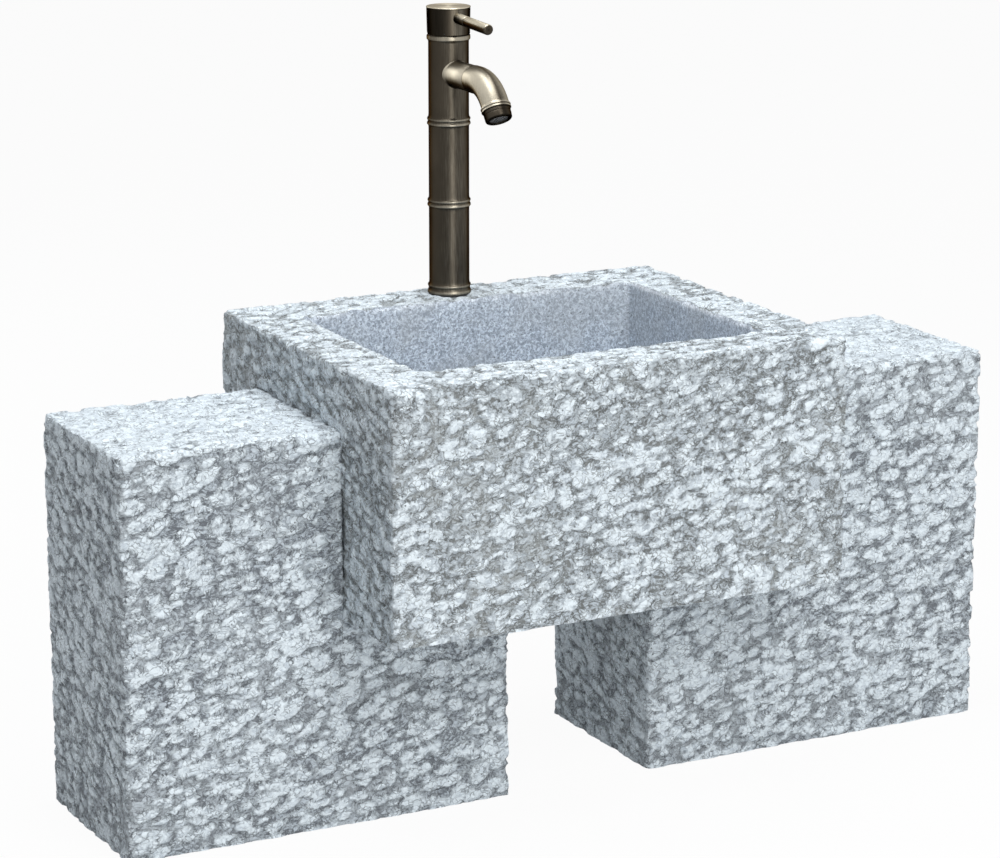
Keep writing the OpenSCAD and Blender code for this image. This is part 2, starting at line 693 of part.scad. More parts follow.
// Flanged body with three arms that carry the latch in its throat
module waste_body() color(bright_brass) at_waste() {
    rotate_extrude() polygon([[waste_bore_r, waste_end], [waste_r - 0.8, waste_end],
        [waste_r, waste_end + 0.8], [waste_r, flange_top - flange_t], [flange_r, flange_top - flange_t],
        [flange_r, flange_top - flange_t + 1], [flange_r - 1.5, flange_top], [mouth_r, flange_top],
        [waste_bore_r, flange_top - 4]]);
    difference() {
        translate([0, 0, hub_top - hub_h]) union() {
            cylinder(h = hub_h, r = hub_r);
            for (a = [90:120:330]) rotate(a) translate([0, -arm_t / 2, 0])
                cube([waste_bore_r + 1, arm_t, hub_h]);
        }
        translate([0, 0, hub_top - hub_h - over]) cylinder(h = hub_h + 2 * over, r = latch_r + joint_gap);
    }
}

module waste_top_gasket() color(rubber_black) at_waste()
    tube(rebate_z, rebate_z + top_gasket_t, flange_r - 1, waste_r + 0.3);

module waste_bottom_gasket() color(rubber_black) at_waste()
    tube(recess_top - bottom_gasket_t, recess_top, lock_nut_af / 2 + 4, waste_r + 0.3);

module waste_lock_nut() color(bright_brass) at_waste() {
    lock_top = recess_top - bottom_gasket_t;
    hex_nut(lock_top - lock_nut_h, lock_top, lock_nut_af, waste_r + joint_gap);
}

module tail_pipe() color(bright_brass) at_waste() rotate_extrude() {
    screw_r = waste_bore_r - joint_gap;
    polygon([[tail_r - tail_wall, tail_end], [tail_r, tail_end], [tail_r, waste_end], [screw_r, waste_end],
        [screw_r, waste_end + tail_screw], [tail_r - tail_wall, waste_end + tail_screw]]);
}

module latch() color(white_plastic) at_waste() difference() {
    union() {
        translate([0, 0, hub_top]) cylinder(h = latch_top - hub_top, r = latch_head_r, $fn = 6);
        translate([0, 0, hub_top - hub_h - latch_spare])
            cylinder(h = hub_h + latch_spare + over, r = latch_r);
    }
    translate([0, 0, hub_top - hub_h - latch_spare - over])
        cylinder(h = latch_top - hub_top + hub_h + latch_spare + 2 * over, r = plug_stem_r + run_gap);
}

plug_under = flange_top + seal_t;

module drain_plug() color(bright_brass) at_waste() difference() {
    rotate_extrude() polygon(concat(
        [[0, plug_under - plug_boss_h], [plug_boss_r, plug_under - plug_boss_h], [plug_boss_r, plug_under],
            [plug_r - 0.5, plug_under], [plug_r, plug_under + 0.5]],
        // Low dome as a quarter wave from the edge to the crown
        [for (a = [0:15:90]) [plug_r * cos(a), plug_under + plug_edge + plug_crown * sin(a)]]));
    translate([0, 0, plug_under - plug_boss_h - over])
        cylinder(h = stem_grip + over, r = plug_stem_r + joint_gap);
}

module plug_seal() color(rubber_black) at_waste() tube(flange_top, plug_under, seal_r, mouth_r + 0.5);

// Long enough to stay guided in the latch when the plug is up
module plug_stem() color(steel) at_waste() {
    stem_end = latch_top - plug_lift - stem_guide;
    translate([0, 0, stem_end])
        cylinder(h = plug_under - plug_boss_h + stem_grip - stem_end, r = plug_stem_r);
}

left_pedestal();
right_pedestal();
basin();
tap_column();
base_gasket();
threaded_shank();
shank_rubber_washer();
shank_steel_washer();
shank_nut();
spout_socket();
spout_elbow();
aerator_housing();
aerator_seal();
aerator_insert();
mixer_core();
port_gasket();
cartridge_base();
cartridge_body();
fixed_disc();
bonnet_nut();
carrier();
stem_pin();
moving_disc();
stem();
handle_cap();
lever_pin();
grub_screw();
index_plug();
waste_body();
waste_top_gasket();
waste_bottom_gasket();
waste_lock_nut();
tail_pipe();
latch();
drain_plug();
plug_seal();
plug_stem();
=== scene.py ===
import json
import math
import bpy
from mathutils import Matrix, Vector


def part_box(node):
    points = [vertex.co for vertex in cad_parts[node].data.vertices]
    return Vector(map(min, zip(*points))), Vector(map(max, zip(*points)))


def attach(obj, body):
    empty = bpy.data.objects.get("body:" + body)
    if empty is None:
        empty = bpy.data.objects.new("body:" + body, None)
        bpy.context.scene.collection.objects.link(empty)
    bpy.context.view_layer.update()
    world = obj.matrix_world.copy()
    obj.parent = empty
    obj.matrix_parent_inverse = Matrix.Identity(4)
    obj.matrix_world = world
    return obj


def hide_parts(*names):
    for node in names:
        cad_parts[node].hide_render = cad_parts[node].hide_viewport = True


bl_info = {
    "name": "Granite garden fountain",
    "version": (1, 0, 0),
    "blender": (4, 5, 0),
    "location": "View3D > Sidebar > Fountain",
    "description": "Dresses the garden fountain: rough-hewn granite stones and an antique brass bamboo tap",
    "category": "Object",
}

import bpy
import numpy as np

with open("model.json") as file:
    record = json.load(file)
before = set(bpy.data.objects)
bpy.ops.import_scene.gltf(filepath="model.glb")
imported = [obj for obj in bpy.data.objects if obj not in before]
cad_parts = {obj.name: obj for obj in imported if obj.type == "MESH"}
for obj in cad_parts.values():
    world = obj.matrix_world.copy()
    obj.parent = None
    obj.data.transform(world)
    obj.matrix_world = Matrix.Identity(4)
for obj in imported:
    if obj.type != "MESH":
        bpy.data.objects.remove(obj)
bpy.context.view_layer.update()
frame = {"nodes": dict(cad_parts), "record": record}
SLOT_OF = {part["node"]: part["material_slot"] for part in frame["record"]["subparts"]}

# Angles in degrees past which an edge stays sharp
STONE_SHARP, TURNED_SHARP, BORED_SHARP = 48.0, 50.0, 40.0


# Noise


def spread(seed, *cells):
    """Mixes whole-number cell places into an even spread from 0 to 1, the same on every run."""
    h = np.full(cells[0].shape, (seed * 2654435761) & 0xFFFFFFFF, np.uint32)
    for c in cells:
        h = (h ^ c.astype(np.int64).astype(np.uint32)) * np.uint32(0x85EBCA6B)
        h = (h ^ (h >> np.uint32(15))) * np.uint32(0xC2B2AE35)
        h = h ^ (h >> np.uint32(13))
    return h / 4294967295.0


def ease(t):
    """0 below zero, 1 above one, smooth between."""
    t = np.clip(t, 0, 1)
    return t * t * (3 - 2 * t)


def swell(x, y, seed):
    """Smooth noise from 0 to 1: random corner values of a unit grid, eased between the four corners."""
    i, j = np.floor(x), np.floor(y)
    u, v = ease(x - i), ease(y - j)
    low = spread(seed, i, j) * (1 - u) + spread(seed, i + 1, j) * u
    high = spread(seed, i, j + 1) * (1 - u) + spread(seed, i + 1, j + 1) * u
    return low * (1 - v) + high * v


def rumple(x, y, seed, layers=3):
    """Sum of smooth noise, each layer twice as fine and half as strong, centred on zero."""
    total = np.zeros_like(x)
    for n in range(layers):
        total += (swell(x * 2**n + 17.3 * n, y * 2**n - 9.1 * n, seed + n) - 0.5) / 2**n
    return total


def pick_marks(x, y, seed):
    """Nearest of the scattered points, one in each unit cell and not near its edge: the distance to it, the
    offset from it in x and in y, and three random numbers that belong to it."""
    inset, room = 0.18, 0.64
    ci, cj = np.floor(x), np.floor(y)
    near = np.full(x.shape, 9.0)
    best = [np.zeros_like(x) for _ in range(4)]
    for di in (-1, 0, 1):
        for dj in (-1, 0, 1):
            i, j = ci + di, cj + dj
            dx = x - i - inset - room * spread(seed, i, j)
            dy = y - j - inset - room * spread(seed + 1, i, j)
            d = np.sqrt(dx * dx + dy * dy)
            closer = d < near
            near = np.where(closer, d, near)
            best = [np.where(closer, new, old) for new, old in zip((dx, dy, i, j), best)]
    dx, dy, i, j = best
    return near, dx, dy, [spread(seed + k, i, j) for k in (2, 3, 4)]


# Mesh building


def span(node):
    """Low corner, high corner and middle of a CAD node's box."""
    low, high = [np.array(c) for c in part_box(node)]
    return low, high, (low + high) / 2


def finished(name, skinned, materials, body=None, replaced=(), sharp=35.0, marks=None):
    """Puts vertices and faces into a mesh object that rides on a body and stands for its CAD nodes. Without a
    body it is a cutter."""
    mesh = bpy.data.meshes.new(name)
    mesh.from_pydata(skinned[0], [], skinned[1])
    mesh.update()
    piece = bpy.data.objects.new(name, mesh)
    bpy.context.scene.collection.objects.link(piece)
    for m in materials:
        mesh.materials.append(m)
    for key, values in (marks or {}).items():
        layer = mesh.attributes.new(key, "FLOAT", "POINT")
        layer.data.foreach_set("value", np.asarray(values, np.float32).ravel())
    smooth(mesh, sharp)
    if body:
        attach(piece, body)
    if replaced:
        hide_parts(*replaced)
    return piece


def in_slot(name, skinned, node, body):
    """Piece in the finish of the one CAD node that it stands for."""
    slot = SLOT_OF[node]
    return finished(name, skinned, [material(slot)], body, [node], TURNED_SHARP)


def in_brass(name, skinned, node, wear_and_painted_light, body="fountain"):
    """Piece in antique brass that stands for one CAD node. Its mark of worn spots and painted light is one
    value or one for each point.
    """
    marks = {"wear_and_painted_light": np.full(len(skinned[0]), wear_and_painted_light)}
    brass = [material("antique_brass")]
    return finished(name, skinned, brass, body, [node], TURNED_SHARP, marks)


def paint_highlight_and_shade(piece, direction, least, most, power):
    """Paints highlight and shade into a piece's mark of worn spots and painted light, by how far each point
    faces a direction, alike on the left and the right: painted shade of least on the far side, and a painted
    highlight of up to most on the near side. A higher power narrows the painted highlight's band."""
    mesh = piece.data
    normals = np.empty(3 * len(mesh.vertices), np.float32)
    mesh.vertex_normals.foreach_get("vector", normals)
    normals = normals.reshape(-1, 3) * np.where(normals[::3, None] > 0, [[-1, 1, 1]], 1)
    way = np.array(direction) / np.linalg.norm(direction)
    near = np.clip(normals @ way, 0, 1) ** power
    wear_and_painted_light = np.empty(len(mesh.vertices), np.float32)
    mesh.attributes["wear_and_painted_light"].data.foreach_get("value", wear_and_painted_light)
    # Painted highlight on the side that faces the direction, painted shade on the far side
    wear_and_painted_light += (least + (most - least) * near).astype(np.float32)
    mesh.attributes["wear_and_painted_light"].data.foreach_set("value", wear_and_painted_light)


def smooth(mesh, sharp):
    """Shades a mesh smooth, with hard edges where its faces meet at more than the given angle in degrees."""
    mesh.polygons.foreach_set("use_smooth", np.ones(len(mesh.polygons), bool))
    mesh.set_sharp_from_angle(angle=math.radians(sharp))


def skin(rings, wrapped=False):
    """Closed skin over rings of equal count, an array [ring, point, xyz]. Quads join each ring to the next.
    Wrapped, the last ring joins the first, and otherwise a fan of triangles closes each end."""
    m, n = rings.shape[:2]
    verts = rings.reshape(-1, 3)
    i = np.arange(m if wrapped else m - 1)[:, None]
    j = np.arange(n)[None, :]
    a, b = i * n + j, i * n + (j + 1) % n
    c, d = (i + 1) % m * n + (j + 1) % n, (i + 1) % m * n + j
    faces = np.stack([a, b, c, d], -1).reshape(-1, 4).tolist()
    if not wrapped:
        verts = np.vstack([verts, rings[0].mean(0), rings[-1].mean(0)])
        k = np.arange(n)
        faces += np.stack([(k + 1) % n, k, np.full(n, m * n)], -1).tolist()
        last = (m - 1) * n
        faces += np.stack([last + k, last + (k + 1) % n, np.full(n, m * n + 1)], -1).tolist()
    return verts, outward(verts, faces)


def outward(verts, faces):
    """Turns all faces round if the volume that they hold, summed as signed tetrahedra, is negative."""
    quads = np.array([f if len(f) == 4 else f + [f[-1]] for f in faces])
    tri = np.vstack([quads[:, [0, 1, 2]], quads[:, [0, 2, 3]]])
    p = verts[tri]
    volume = np.einsum("ij,ij->i", p[:, 0], np.cross(p[:, 1], p[:, 2])).sum()
    return faces if volume > 0 else [f[::-1] for f in faces]


def soften(points, radius, closed=False):
    """Replaces each corner of a 2-D outline by three points of a parabola that starts and ends within radius
    of it."""
    p = np.asarray(points, float)
    before, after = np.roll(p, 1, 0), np.roll(p, -1, 0)
    if not closed:
        before[0], after[-1] = p[0], p[-1]

    def along(q):
        leg = q - p
        size = np.maximum(np.linalg.norm(leg, axis=1, keepdims=True), 1e-9)
        return p + leg * np.minimum(radius / size, 0.45)

    a, b = along(before), along(after)
    t = np.linspace(0, 1, 3)[None, :, None]
    curve = (1 - t) ** 2 * a[:, None] + 2 * t * (1 - t) * p[:, None] + t * t * b[:, None]
    out = curve.reshape(-1, 2)
    keep = np.r_[True, np.linalg.norm(np.diff(out, axis=0), axis=1) > 1e-7]
    return out[keep]


def turned(profile, centre, count):
    """Rings of a turned form: each (radius, height) pair of the profile goes round the upright axis."""
    a = np.linspace(0, 2 * np.pi, count, endpoint=False)
    r, z = np.asarray(profile)[:, :1], np.asarray(profile)[:, 1:]
    return np.stack([centre[0] + r * np.cos(a), centre[1] + r * np.sin(a), centre[2] + z + 0 * a], -1)


def carried(profile, path, count):
    """Rings of a form carried along a path in the upright plane of the spout: each (radius, distance) pair
    gives a circle square to the path at that distance. path returns places and forward directions."""
    r, s = np.asarray(profile).T
    place, forward = path(s)
    side = np.array([1.0, 0, 0])
    up = np.cross(side, forward)
    a = np.linspace(0, 2 * np.pi, count, endpoint=False)
    wheel = side[None, None] * np.cos(a)[None, :, None] + up[:, None] * np.sin(a)[None, :, None]
    return place[:, None] + r[:, None, None] * wheel


def across(middle, rows, count):
    """Rings round an axis that runs from front to back, from (radius, place from front to back) pairs."""
    a = np.linspace(0, 2 * np.pi, count, endpoint=False)
    return np.array([np.stack([middle[0] + r * np.cos(a), 0 * a + y, middle[2] + r * np.sin(a)], -1)
                     for r, y in rows])


def box_rings(low, high):
    """Rings of a plain closed box, from its bottom to its top."""
    (x0, y0, z0), (x1, y1, z1) = low, high
    return [[[x0, y0, z], [x1, y0, z], [x1, y1, z], [x0, y1, z]] for z in (z0, z1)]


def at_height(points, z):
    """Ring of flat points, lifted to a height."""
    return np.column_stack([points, np.full(len(points), z)])


def round_corners(x0, y0, x1, y1, r, count):
    """Places round a rectangle with round corners, evenly by distance, as an array of xy."""
    a = np.linspace(0, np.pi / 2, 9)
    corners = ((x1 - r, y0 + r, -90), (x1 - r, y1 - r, 0), (x0 + r, y1 - r, 90), (x0 + r, y0 + r, 180))
    pts = []
    for cx, cy, turn in corners:
        b = a + math.radians(turn)
        pts.append(np.column_stack([cx + r * np.cos(b), cy + r * np.sin(b)]))
    loop = np.vstack(pts + [pts[0][:1]])
    run = np.r_[0, np.cumsum(np.linalg.norm(np.diff(loop, axis=0), axis=1))]
    t = np.linspace(0, run[-1], count, endpoint=False)
    return np.column_stack([np.interp(t, run, loop[:, 0]), np.interp(t, run, loop[:, 1])])


def circle(centre, r, like):
    """Points of a circle, each in the direction of the matching point of another ring."""
    d = like - centre
    return centre + r * d / np.linalg.norm(d, axis=1, keepdims=True)


def cut_away(piece, rings, finish="granite_honed"):
    """Takes the space inside closed rings from the piece. The cut faces get the given finish."""
    cutter = finished(piece.name + "_cutter", skin(np.asarray(rings)), [material(finish)])
    mod = piece.modifiers.new("cut", "BOOLEAN")
    mod.operation = "DIFFERENCE"
    mod.object = cutter
    mod.solver = "EXACT"
    mod.material_mode = "TRANSFER"
    graph = bpy.context.evaluated_depsgraph_get()
    result = bpy.data.meshes.new_from_object(piece.evaluated_get(graph))
    piece.modifiers.clear()
    old = piece.data
    piece.data = result
    result.name = piece.name
    bpy.data.meshes.remove(old)
    shape = cutter.data
    bpy.data.objects.remove(cutter)
    bpy.data.meshes.remove(shape)


# Materials


class Finish:
    """A node material in the making: its nodes are added by type and fed by the names of their sockets."""

    def __init__(self, name):
        self.material = bpy.data.materials.new(name)
        self.material.use_nodes = True
        self.tree = self.material.node_tree
        self.tree.nodes.clear()
        self.shader = self.add("ShaderNodeBsdfPrincipled")
        self.out = self.add("ShaderNodeOutputMaterial", Surface=self.shader.outputs["BSDF"])
        self.place = self.add("ShaderNodeTexCoord").outputs["Object"]

    def feed(self, value, socket):
        """Links another node's output to the socket, or writes a number, vector or RGB colour into it."""
        if isinstance(value, bpy.types.NodeSocket):
            self.tree.links.new(value, socket)
        else:
            socket.default_value = (*value, 1.0) if socket.type == "RGBA" else value

    def add(self, kind, **values):
        """A new node. Each value is one of its settings, or goes into the input of that name."""
        node = self.tree.nodes.new(kind)
        for key, value in values.items():
            if hasattr(node, key):
                setattr(node, key, value)
            else:
                self.feed(value, node.inputs[key.replace("_", " ")])
        return node

    def stretched(self, x, y, z):
        """Object coordinates, multiplied along each axis."""
        return self.add("ShaderNodeMapping", Vector=self.place, Scale=(x, y, z)).outputs["Vector"]

    def noise(self, where, scale, detail=3.0, rough=0.55, warp=0.0):
        return self.add("ShaderNodeTexNoise", Vector=where, Scale=scale, Detail=detail, Roughness=rough,
                        Distortion=warp).outputs["Fac"]

    def warped(self, where, scale, reach):
        """Places pushed about by noise, by up to half the reach along each axis."""
        push = self.add("ShaderNodeTexNoise", Vector=where, Scale=scale, Detail=2.0).outputs["Color"]
        moved = self.add("ShaderNodeVectorMath", operation="MULTIPLY_ADD")
        for value, socket in zip((push, (reach, reach, reach), where), moved.inputs):
            self.feed(value, socket)
        return moved.outputs[0]

    def cells(self, where, scale, feature="F1"):
        return self.add("ShaderNodeTexVoronoi", feature=feature, Vector=where, Scale=scale)

    def crust(self, where, scale, lip):
        """Pillows between cracks: how far into its cell a place lies, and a random tone of that cell."""
        edge = self.cells(where, scale, "DISTANCE_TO_EDGE").outputs["Distance"]
        tone = self.add("ShaderNodeSeparateColor", Color=self.cells(where, scale).outputs["Color"]).outputs[0]
        return self.ramp(edge, 0.0, lip), tone

    def ramp(self, value, low, high, start=0.0, end=1.0):
        """Eases from start, where the value is low, to end, where it is high."""
        return self.add("ShaderNodeMapRange", interpolation_type="SMOOTHSTEP", Value=value, From_Min=low,
                        From_Max=high, To_Min=start, To_Max=end).outputs["Result"]

    def math(self, kind, a, b):
        n = self.add("ShaderNodeMath", operation=kind)
        self.feed(a, n.inputs[0])
        self.feed(b, n.inputs[1])
        return n.outputs[0]

    def weigh(self, *terms):
        """Sum of the values, each times its factor."""
        total = None
        for value, factor in terms:
            share = self.math("MULTIPLY", value, factor)
            total = share if total is None else self.math("ADD", total, share)
        return total

    def centred(self, value):
        return self.math("SUBTRACT", value, 0.5)

    def blend(self, amount, a, b):
        """Colour a where the amount is 0, and b where it is 1."""
        n = self.add("ShaderNodeMix", data_type="RGBA")
        for value, k in ((amount, 0), (a, 6), (b, 7)):
            self.feed(value, n.inputs[k])
        return n.outputs[2]

    def mark(self, name):
        return self.add("ShaderNodeAttribute", attribute_name=name).outputs["Fac"]

    def bump(self, height, distance, strength):
        n = self.add("ShaderNodeBump", Strength=strength, Distance=distance, Height=height)
        return n.outputs["Normal"]

    def finish(self, colour, rough, normal=None, **plain):
        """The material, once its shader has its colour, roughness, relief and plain values."""
        for key, value in {"Base Color": colour, "Roughness": rough, "Normal": normal, **plain}.items():
            if value is not None:
                self.feed(value, self.shader.inputs[key.replace("_", " ")])
        return self.material


_made = {}


def material(name):
    """The material of that name, made on first use."""
    if name not in _made:
        _made[name] = MAKERS[name](name)
    return _made[name]


def picked_granite(name, lift, dark, warm):
    """Granite broken with a point: the pale bruised flakes of the mesh on grey, and the mesh's painted shadow
    below each flake's lower edge. Warped cells split both into small crystals, each with its own tone, and
    thin cracks run between them here and there. Mica is rare."""
    f = Finish(name)
    s = STONE()
    flake, grey = s.flake_colour[:], s.grey_colour[:]
    warp = f.warped(f.warped(f.stretched(0.85, 0.85, 1.1), 75, 0.014), 240, 0.0050)
    chip, tone = f.crust(warp, 215, 0.17)
    cloud = f.noise(f.stretched(0.8, 0.8, 1.15), 105, 5, 0.68, 0.3)
    fine = f.noise(warp, 330, 4, 0.75)
    broad = f.noise(f.place, 9, 2)
    # The flake mark brings in the pale bruised flakes and the painted shadow below their lower edges
    lit = f.weigh((f.mark("flake"), 1.75), (f.centred(cloud), s.ragged), (f.centred(fine), 2.6),
                  (f.centred(tone), 0.55))
    lit = f.math("ADD", lit, lift)
    grain = f.weigh((fine, 0.75), (tone, 0.16))
    body = f.blend(f.ramp(grain, 0.35, 0.53), dark, grey)
    body = f.blend(f.ramp(broad, 0.4, 0.65, 0.0, 0.35), body, warm)
    bruised = f.blend(f.ramp(grain, 0.34, 0.50), grey, flake)
    body = f.blend(f.ramp(lit, s.flake_start, s.flake_full), body, bruised)
    # Cracks come and go along the stone, and are a little fainter on the flakes
    there = f.ramp(f.noise(warp, 120, 3), 0.42, 0.58, 0.12, 0.9)
    cracked = f.math("MULTIPLY", there, f.ramp(lit, 0.2, 1.4, 1.0, 0.75))
    body = f.blend(f.math("MULTIPLY", cracked, f.ramp(chip, 0.0, 0.9, 1.0, 0.0)), body, dark)
    mica = f.cells(f.place, 95)
    body = f.blend(f.ramp(mica.outputs["Distance"], 0.06, 0.11, 0.8, 0.0), body, (0.04, 0.045, 0.05))
    high = f.weigh((f.ramp(lit, -0.6, 1.2), 0.8), (cloud, 0.9), (fine, 0.5), (chip, 0.1))
    rough = f.ramp(fine, 0.2, 0.8, 0.62, 0.9)
    return f.finish(body, rough, f.bump(high, 0.0032, 0.9), Specular_IOR_Level=0.3)


def pedestal_granite(name):
    """The pedestals' granite, a little paler and bluer."""
    return picked_granite(name, 0.16, dark=(0.14, 0.155, 0.175), warm=(0.51, 0.55, 0.58))


def basin_granite(name):
    """The basin's granite, a little darker and warmer."""
    return picked_granite(name, 0.0, dark=(0.15, 0.16, 0.16), warm=(0.50, 0.53, 0.53))


def honed_granite(name):
    """Granite rubbed smooth: the same crystals without bruised flakes, so it is darker and bluer."""
    f = Finish(name)
    flat = f.stretched(1, 1, 1)
    warp = f.warped(flat, 200, 0.006)
    chip, tone = f.crust(warp, 240, 0.25)
    fine = f.noise(warp, 330, 4, 0.75, 0.5)
    broad = f.noise(flat, 14, 3)
    body = f.blend(f.weigh((tone, 0.6), (chip, 0.25)), (0.49, 0.55, 0.63), (0.79, 0.88, 0.98))
    body = f.blend(f.ramp(fine, 0.46, 0.56, 0.0, 0.9), body, (0.25, 0.29, 0.35))
    body = f.blend(f.ramp(fine, 0.44, 0.36, 0.0, 0.8), body, (0.86, 0.92, 0.97))
    body = f.blend(f.ramp(broad, 0.4, 0.62, 0.0, 0.3), body, (0.42, 0.44, 0.45))
    mica = f.cells(flat, 160)
    body = f.blend(f.ramp(mica.outputs["Distance"], 0.10, 0.18, 0.7, 0.0), body, (0.06, 0.07, 0.075))
    rough = f.ramp(fine, 0.2, 0.8, 0.34, 0.5)
    return f.finish(body, rough, f.bump(fine, 0.0003, 0.5), Specular_IOR_Level=0.8)


def antique_brass(name):
    """Bronzed brass: dark patina rubbed through to gold on the ridges, with faint lengthwise brushing. Its
    mark also carries painted highlights and a painted reflection in the same gold, and painted shade that
    darkens the patina.
    """
    f = Finish(name)
    tap = TAP()
    patina = tap.patina_colour[:]
    brushed = f.noise(f.stretched(1, 1, 0.06), 900, 3, 0.6)
    cloud = f.noise(f.stretched(1, 1, 0.5), 35, 3, 0.5)
    colour = f.blend(f.ramp(cloud, 0.3, 0.7), patina, tuple(1.35 * c for c in patina))
    wear_and_painted_light = f.math("ADD", f.mark("wear_and_painted_light"), f.weigh((f.centred(brushed), 0.3)))
    # Painted shade: where the mark falls below zero, on the sides that face away from each piece's painted
    # highlight, the patina darkens to a quarter; the brushing noise darkens it a little too
    colour = f.blend(f.ramp(wear_and_painted_light, -0.5, 0.1), tuple(0.25 * c for c in patina), colour)
    # Gold where the mark is high: worn ridges, and also painted highlights and the painted reflection on the
    # cap's top
    colour = f.blend(f.ramp(wear_and_painted_light, 0.1, 0.95), colour, tap.worn_and_highlight_colour[:])
    rough = f.ramp(brushed, 0.25, 0.75, tap.gloss_low, tap.gloss_high)
    return f.finish(colour, rough, f.bump(brushed, 0.00004, 0.6), Metallic=1.0, Anisotropic=0.5,
                    Anisotropic_Rotation=0.25, Specular_Tint=(0.3, 0.27, 0.24))


def raw_brass(name):
    """Bright brass with turning marks round the upright axis."""
    f = Finish(name)
    cloud = f.noise(f.stretched(1, 1, 1), 60, 3)
    rings = f.noise(f.stretched(1, 1, 30), 120, 2)
    colour = f.blend(f.ramp(cloud, 0.3, 0.7), (0.52, 0.38, 0.17), (0.64, 0.5, 0.25))
    return f.finish(colour, f.ramp(rings, 0.3, 0.7, 0.26, 0.4), f.bump(rings, 0.00004, 0.6), Metallic=1.0)


def grained(name, grain, dark, light, rough, relief=None, **plain):
    """Even finish in which a noise, given as (scale, detail, stretch upward), varies the tone, the roughness,
    given as a ramp, and the relief, given as (height, strength)."""
    f = Finish(name)
    scale, detail, upward = grain
    fine = f.noise(f.stretched(1, 1, upward), scale, detail)
    colour = f.blend(f.ramp(fine, 0.3, 0.7), dark, light)
    return f.finish(colour, f.ramp(fine, *rough), f.bump(fine, *relief) if relief else None, **plain)


def satin_steel(name):
    return grained(name, (140, 3, 18), (0.46, 0.47, 0.49), (0.6, 0.61, 0.63), (0.3, 0.7, 0.24, 0.38),
                   (0.00004, 0.5), Metallic=1.0)


def black_rubber(name):
    return grained(name, (500, 3, 1), (0.012, 0.012, 0.013), (0.035, 0.035, 0.036), (0.2, 0.8, 0.55, 0.8),
                   (0.0001, 0.5))


def moulded_plastic(name):
    return grained(name, (260, 3, 1), (0.68, 0.68, 0.64), (0.76, 0.76, 0.73), (0.2, 0.8, 0.32, 0.45),
                   (0.00005, 0.4))


def dark_plastic(name):
    return grained(name, (260, 3, 1), (0.045, 0.045, 0.045), (0.07, 0.07, 0.07), (0.2, 0.8, 0.35, 0.5),
                   (0.00005, 0.4))


def lapped_ceramic(name):
    return grained(name, (400, 2, 1), (0.76, 0.76, 0.73), (0.83, 0.83, 0.81), (0.2, 0.8, 0.12, 0.22))


MAKERS = {
    "granite_pedestal": pedestal_granite,
    "granite_basin": basin_granite,
    "granite_honed": honed_granite,
    "antique_brass": antique_brass,
    "raw_brass": raw_brass,
    "steel": satin_steel,
    "rubber": black_rubber,
    "white_plastic": moulded_plastic,
    "dark_plastic": dark_plastic,
    "ceramic": lapped_ceramic,
}


# Rough stone


def worked_height(u, v, seed, level, pale):
    """Relief and flake of a picked face at (u, v), in metres along and up the face. The face is split into
    warped cells as long and tall as the point's marks, in rows that rise a little. Each cell holds a raised
    flake of a random size that drops off sharply at its lower edge and leaves a hollow before the next. On
    upright faces the flake value also holds a painted shadow just below that edge."""
    s = STONE()
    tilt = math.radians(0 if level else 15)
    along = u * math.cos(tilt) + v * math.sin(tilt)
    across = v * math.cos(tilt) - u * math.sin(tilt)
    x = along / s.mark_length + 0.65 * rumple(u / 0.03, v / 0.022, seed, 2)
    y = across / s.mark_height + 0.65 * rumple(u / 0.028, v / 0.02, seed + 7, 2)
    near, dx, dy, (a, b, c) = pick_marks(x, y, seed + 20)
    reach = 0.34 + 0.3 * c
    bulk = ease((reach + 0.14 - near) / 0.34)
    brow = 0 if level else np.clip(-dy, 0, 1) * ease((reach + 0.25 - near) / 0.2)
    relief = s.mark_depth * (bulk * (0.65 + 0.5 * b) + 0.7 * brow + (a - 0.5) * 0.7 * dx - 0.55)
    waves = 0.7 * rumple(u / 0.045, v / 0.04, seed + 31)
    relief += s.mark_depth * (waves + 0.5 * rumple(u / 0.007, v / 0.005, seed + 41, 2))
    # Painted shadow: just below each flake's lower edge on upright faces, the flake value is lowered
    under = ease((-dy - 0.12) / 0.25) * ease(1 - np.abs(near - reach - 0.16) / 0.2)
    flake = 1.25 * bulk + pale - 0.7 * under * (not level) + 0.5 * rumple(u / 0.06, v / 0.05, seed + 51)
    return relief, flake


def chipped(t, seed):
    """Depth of the chips along an arris at distance t along it: what of a noise stands above a level."""
    n = swell(t / 0.011, 0 * t, seed) * 0.6 + swell(t / 0.004, 0 * t, seed + 3) * 0.4
    return np.maximum(n - 0.52, 0) * 0.011


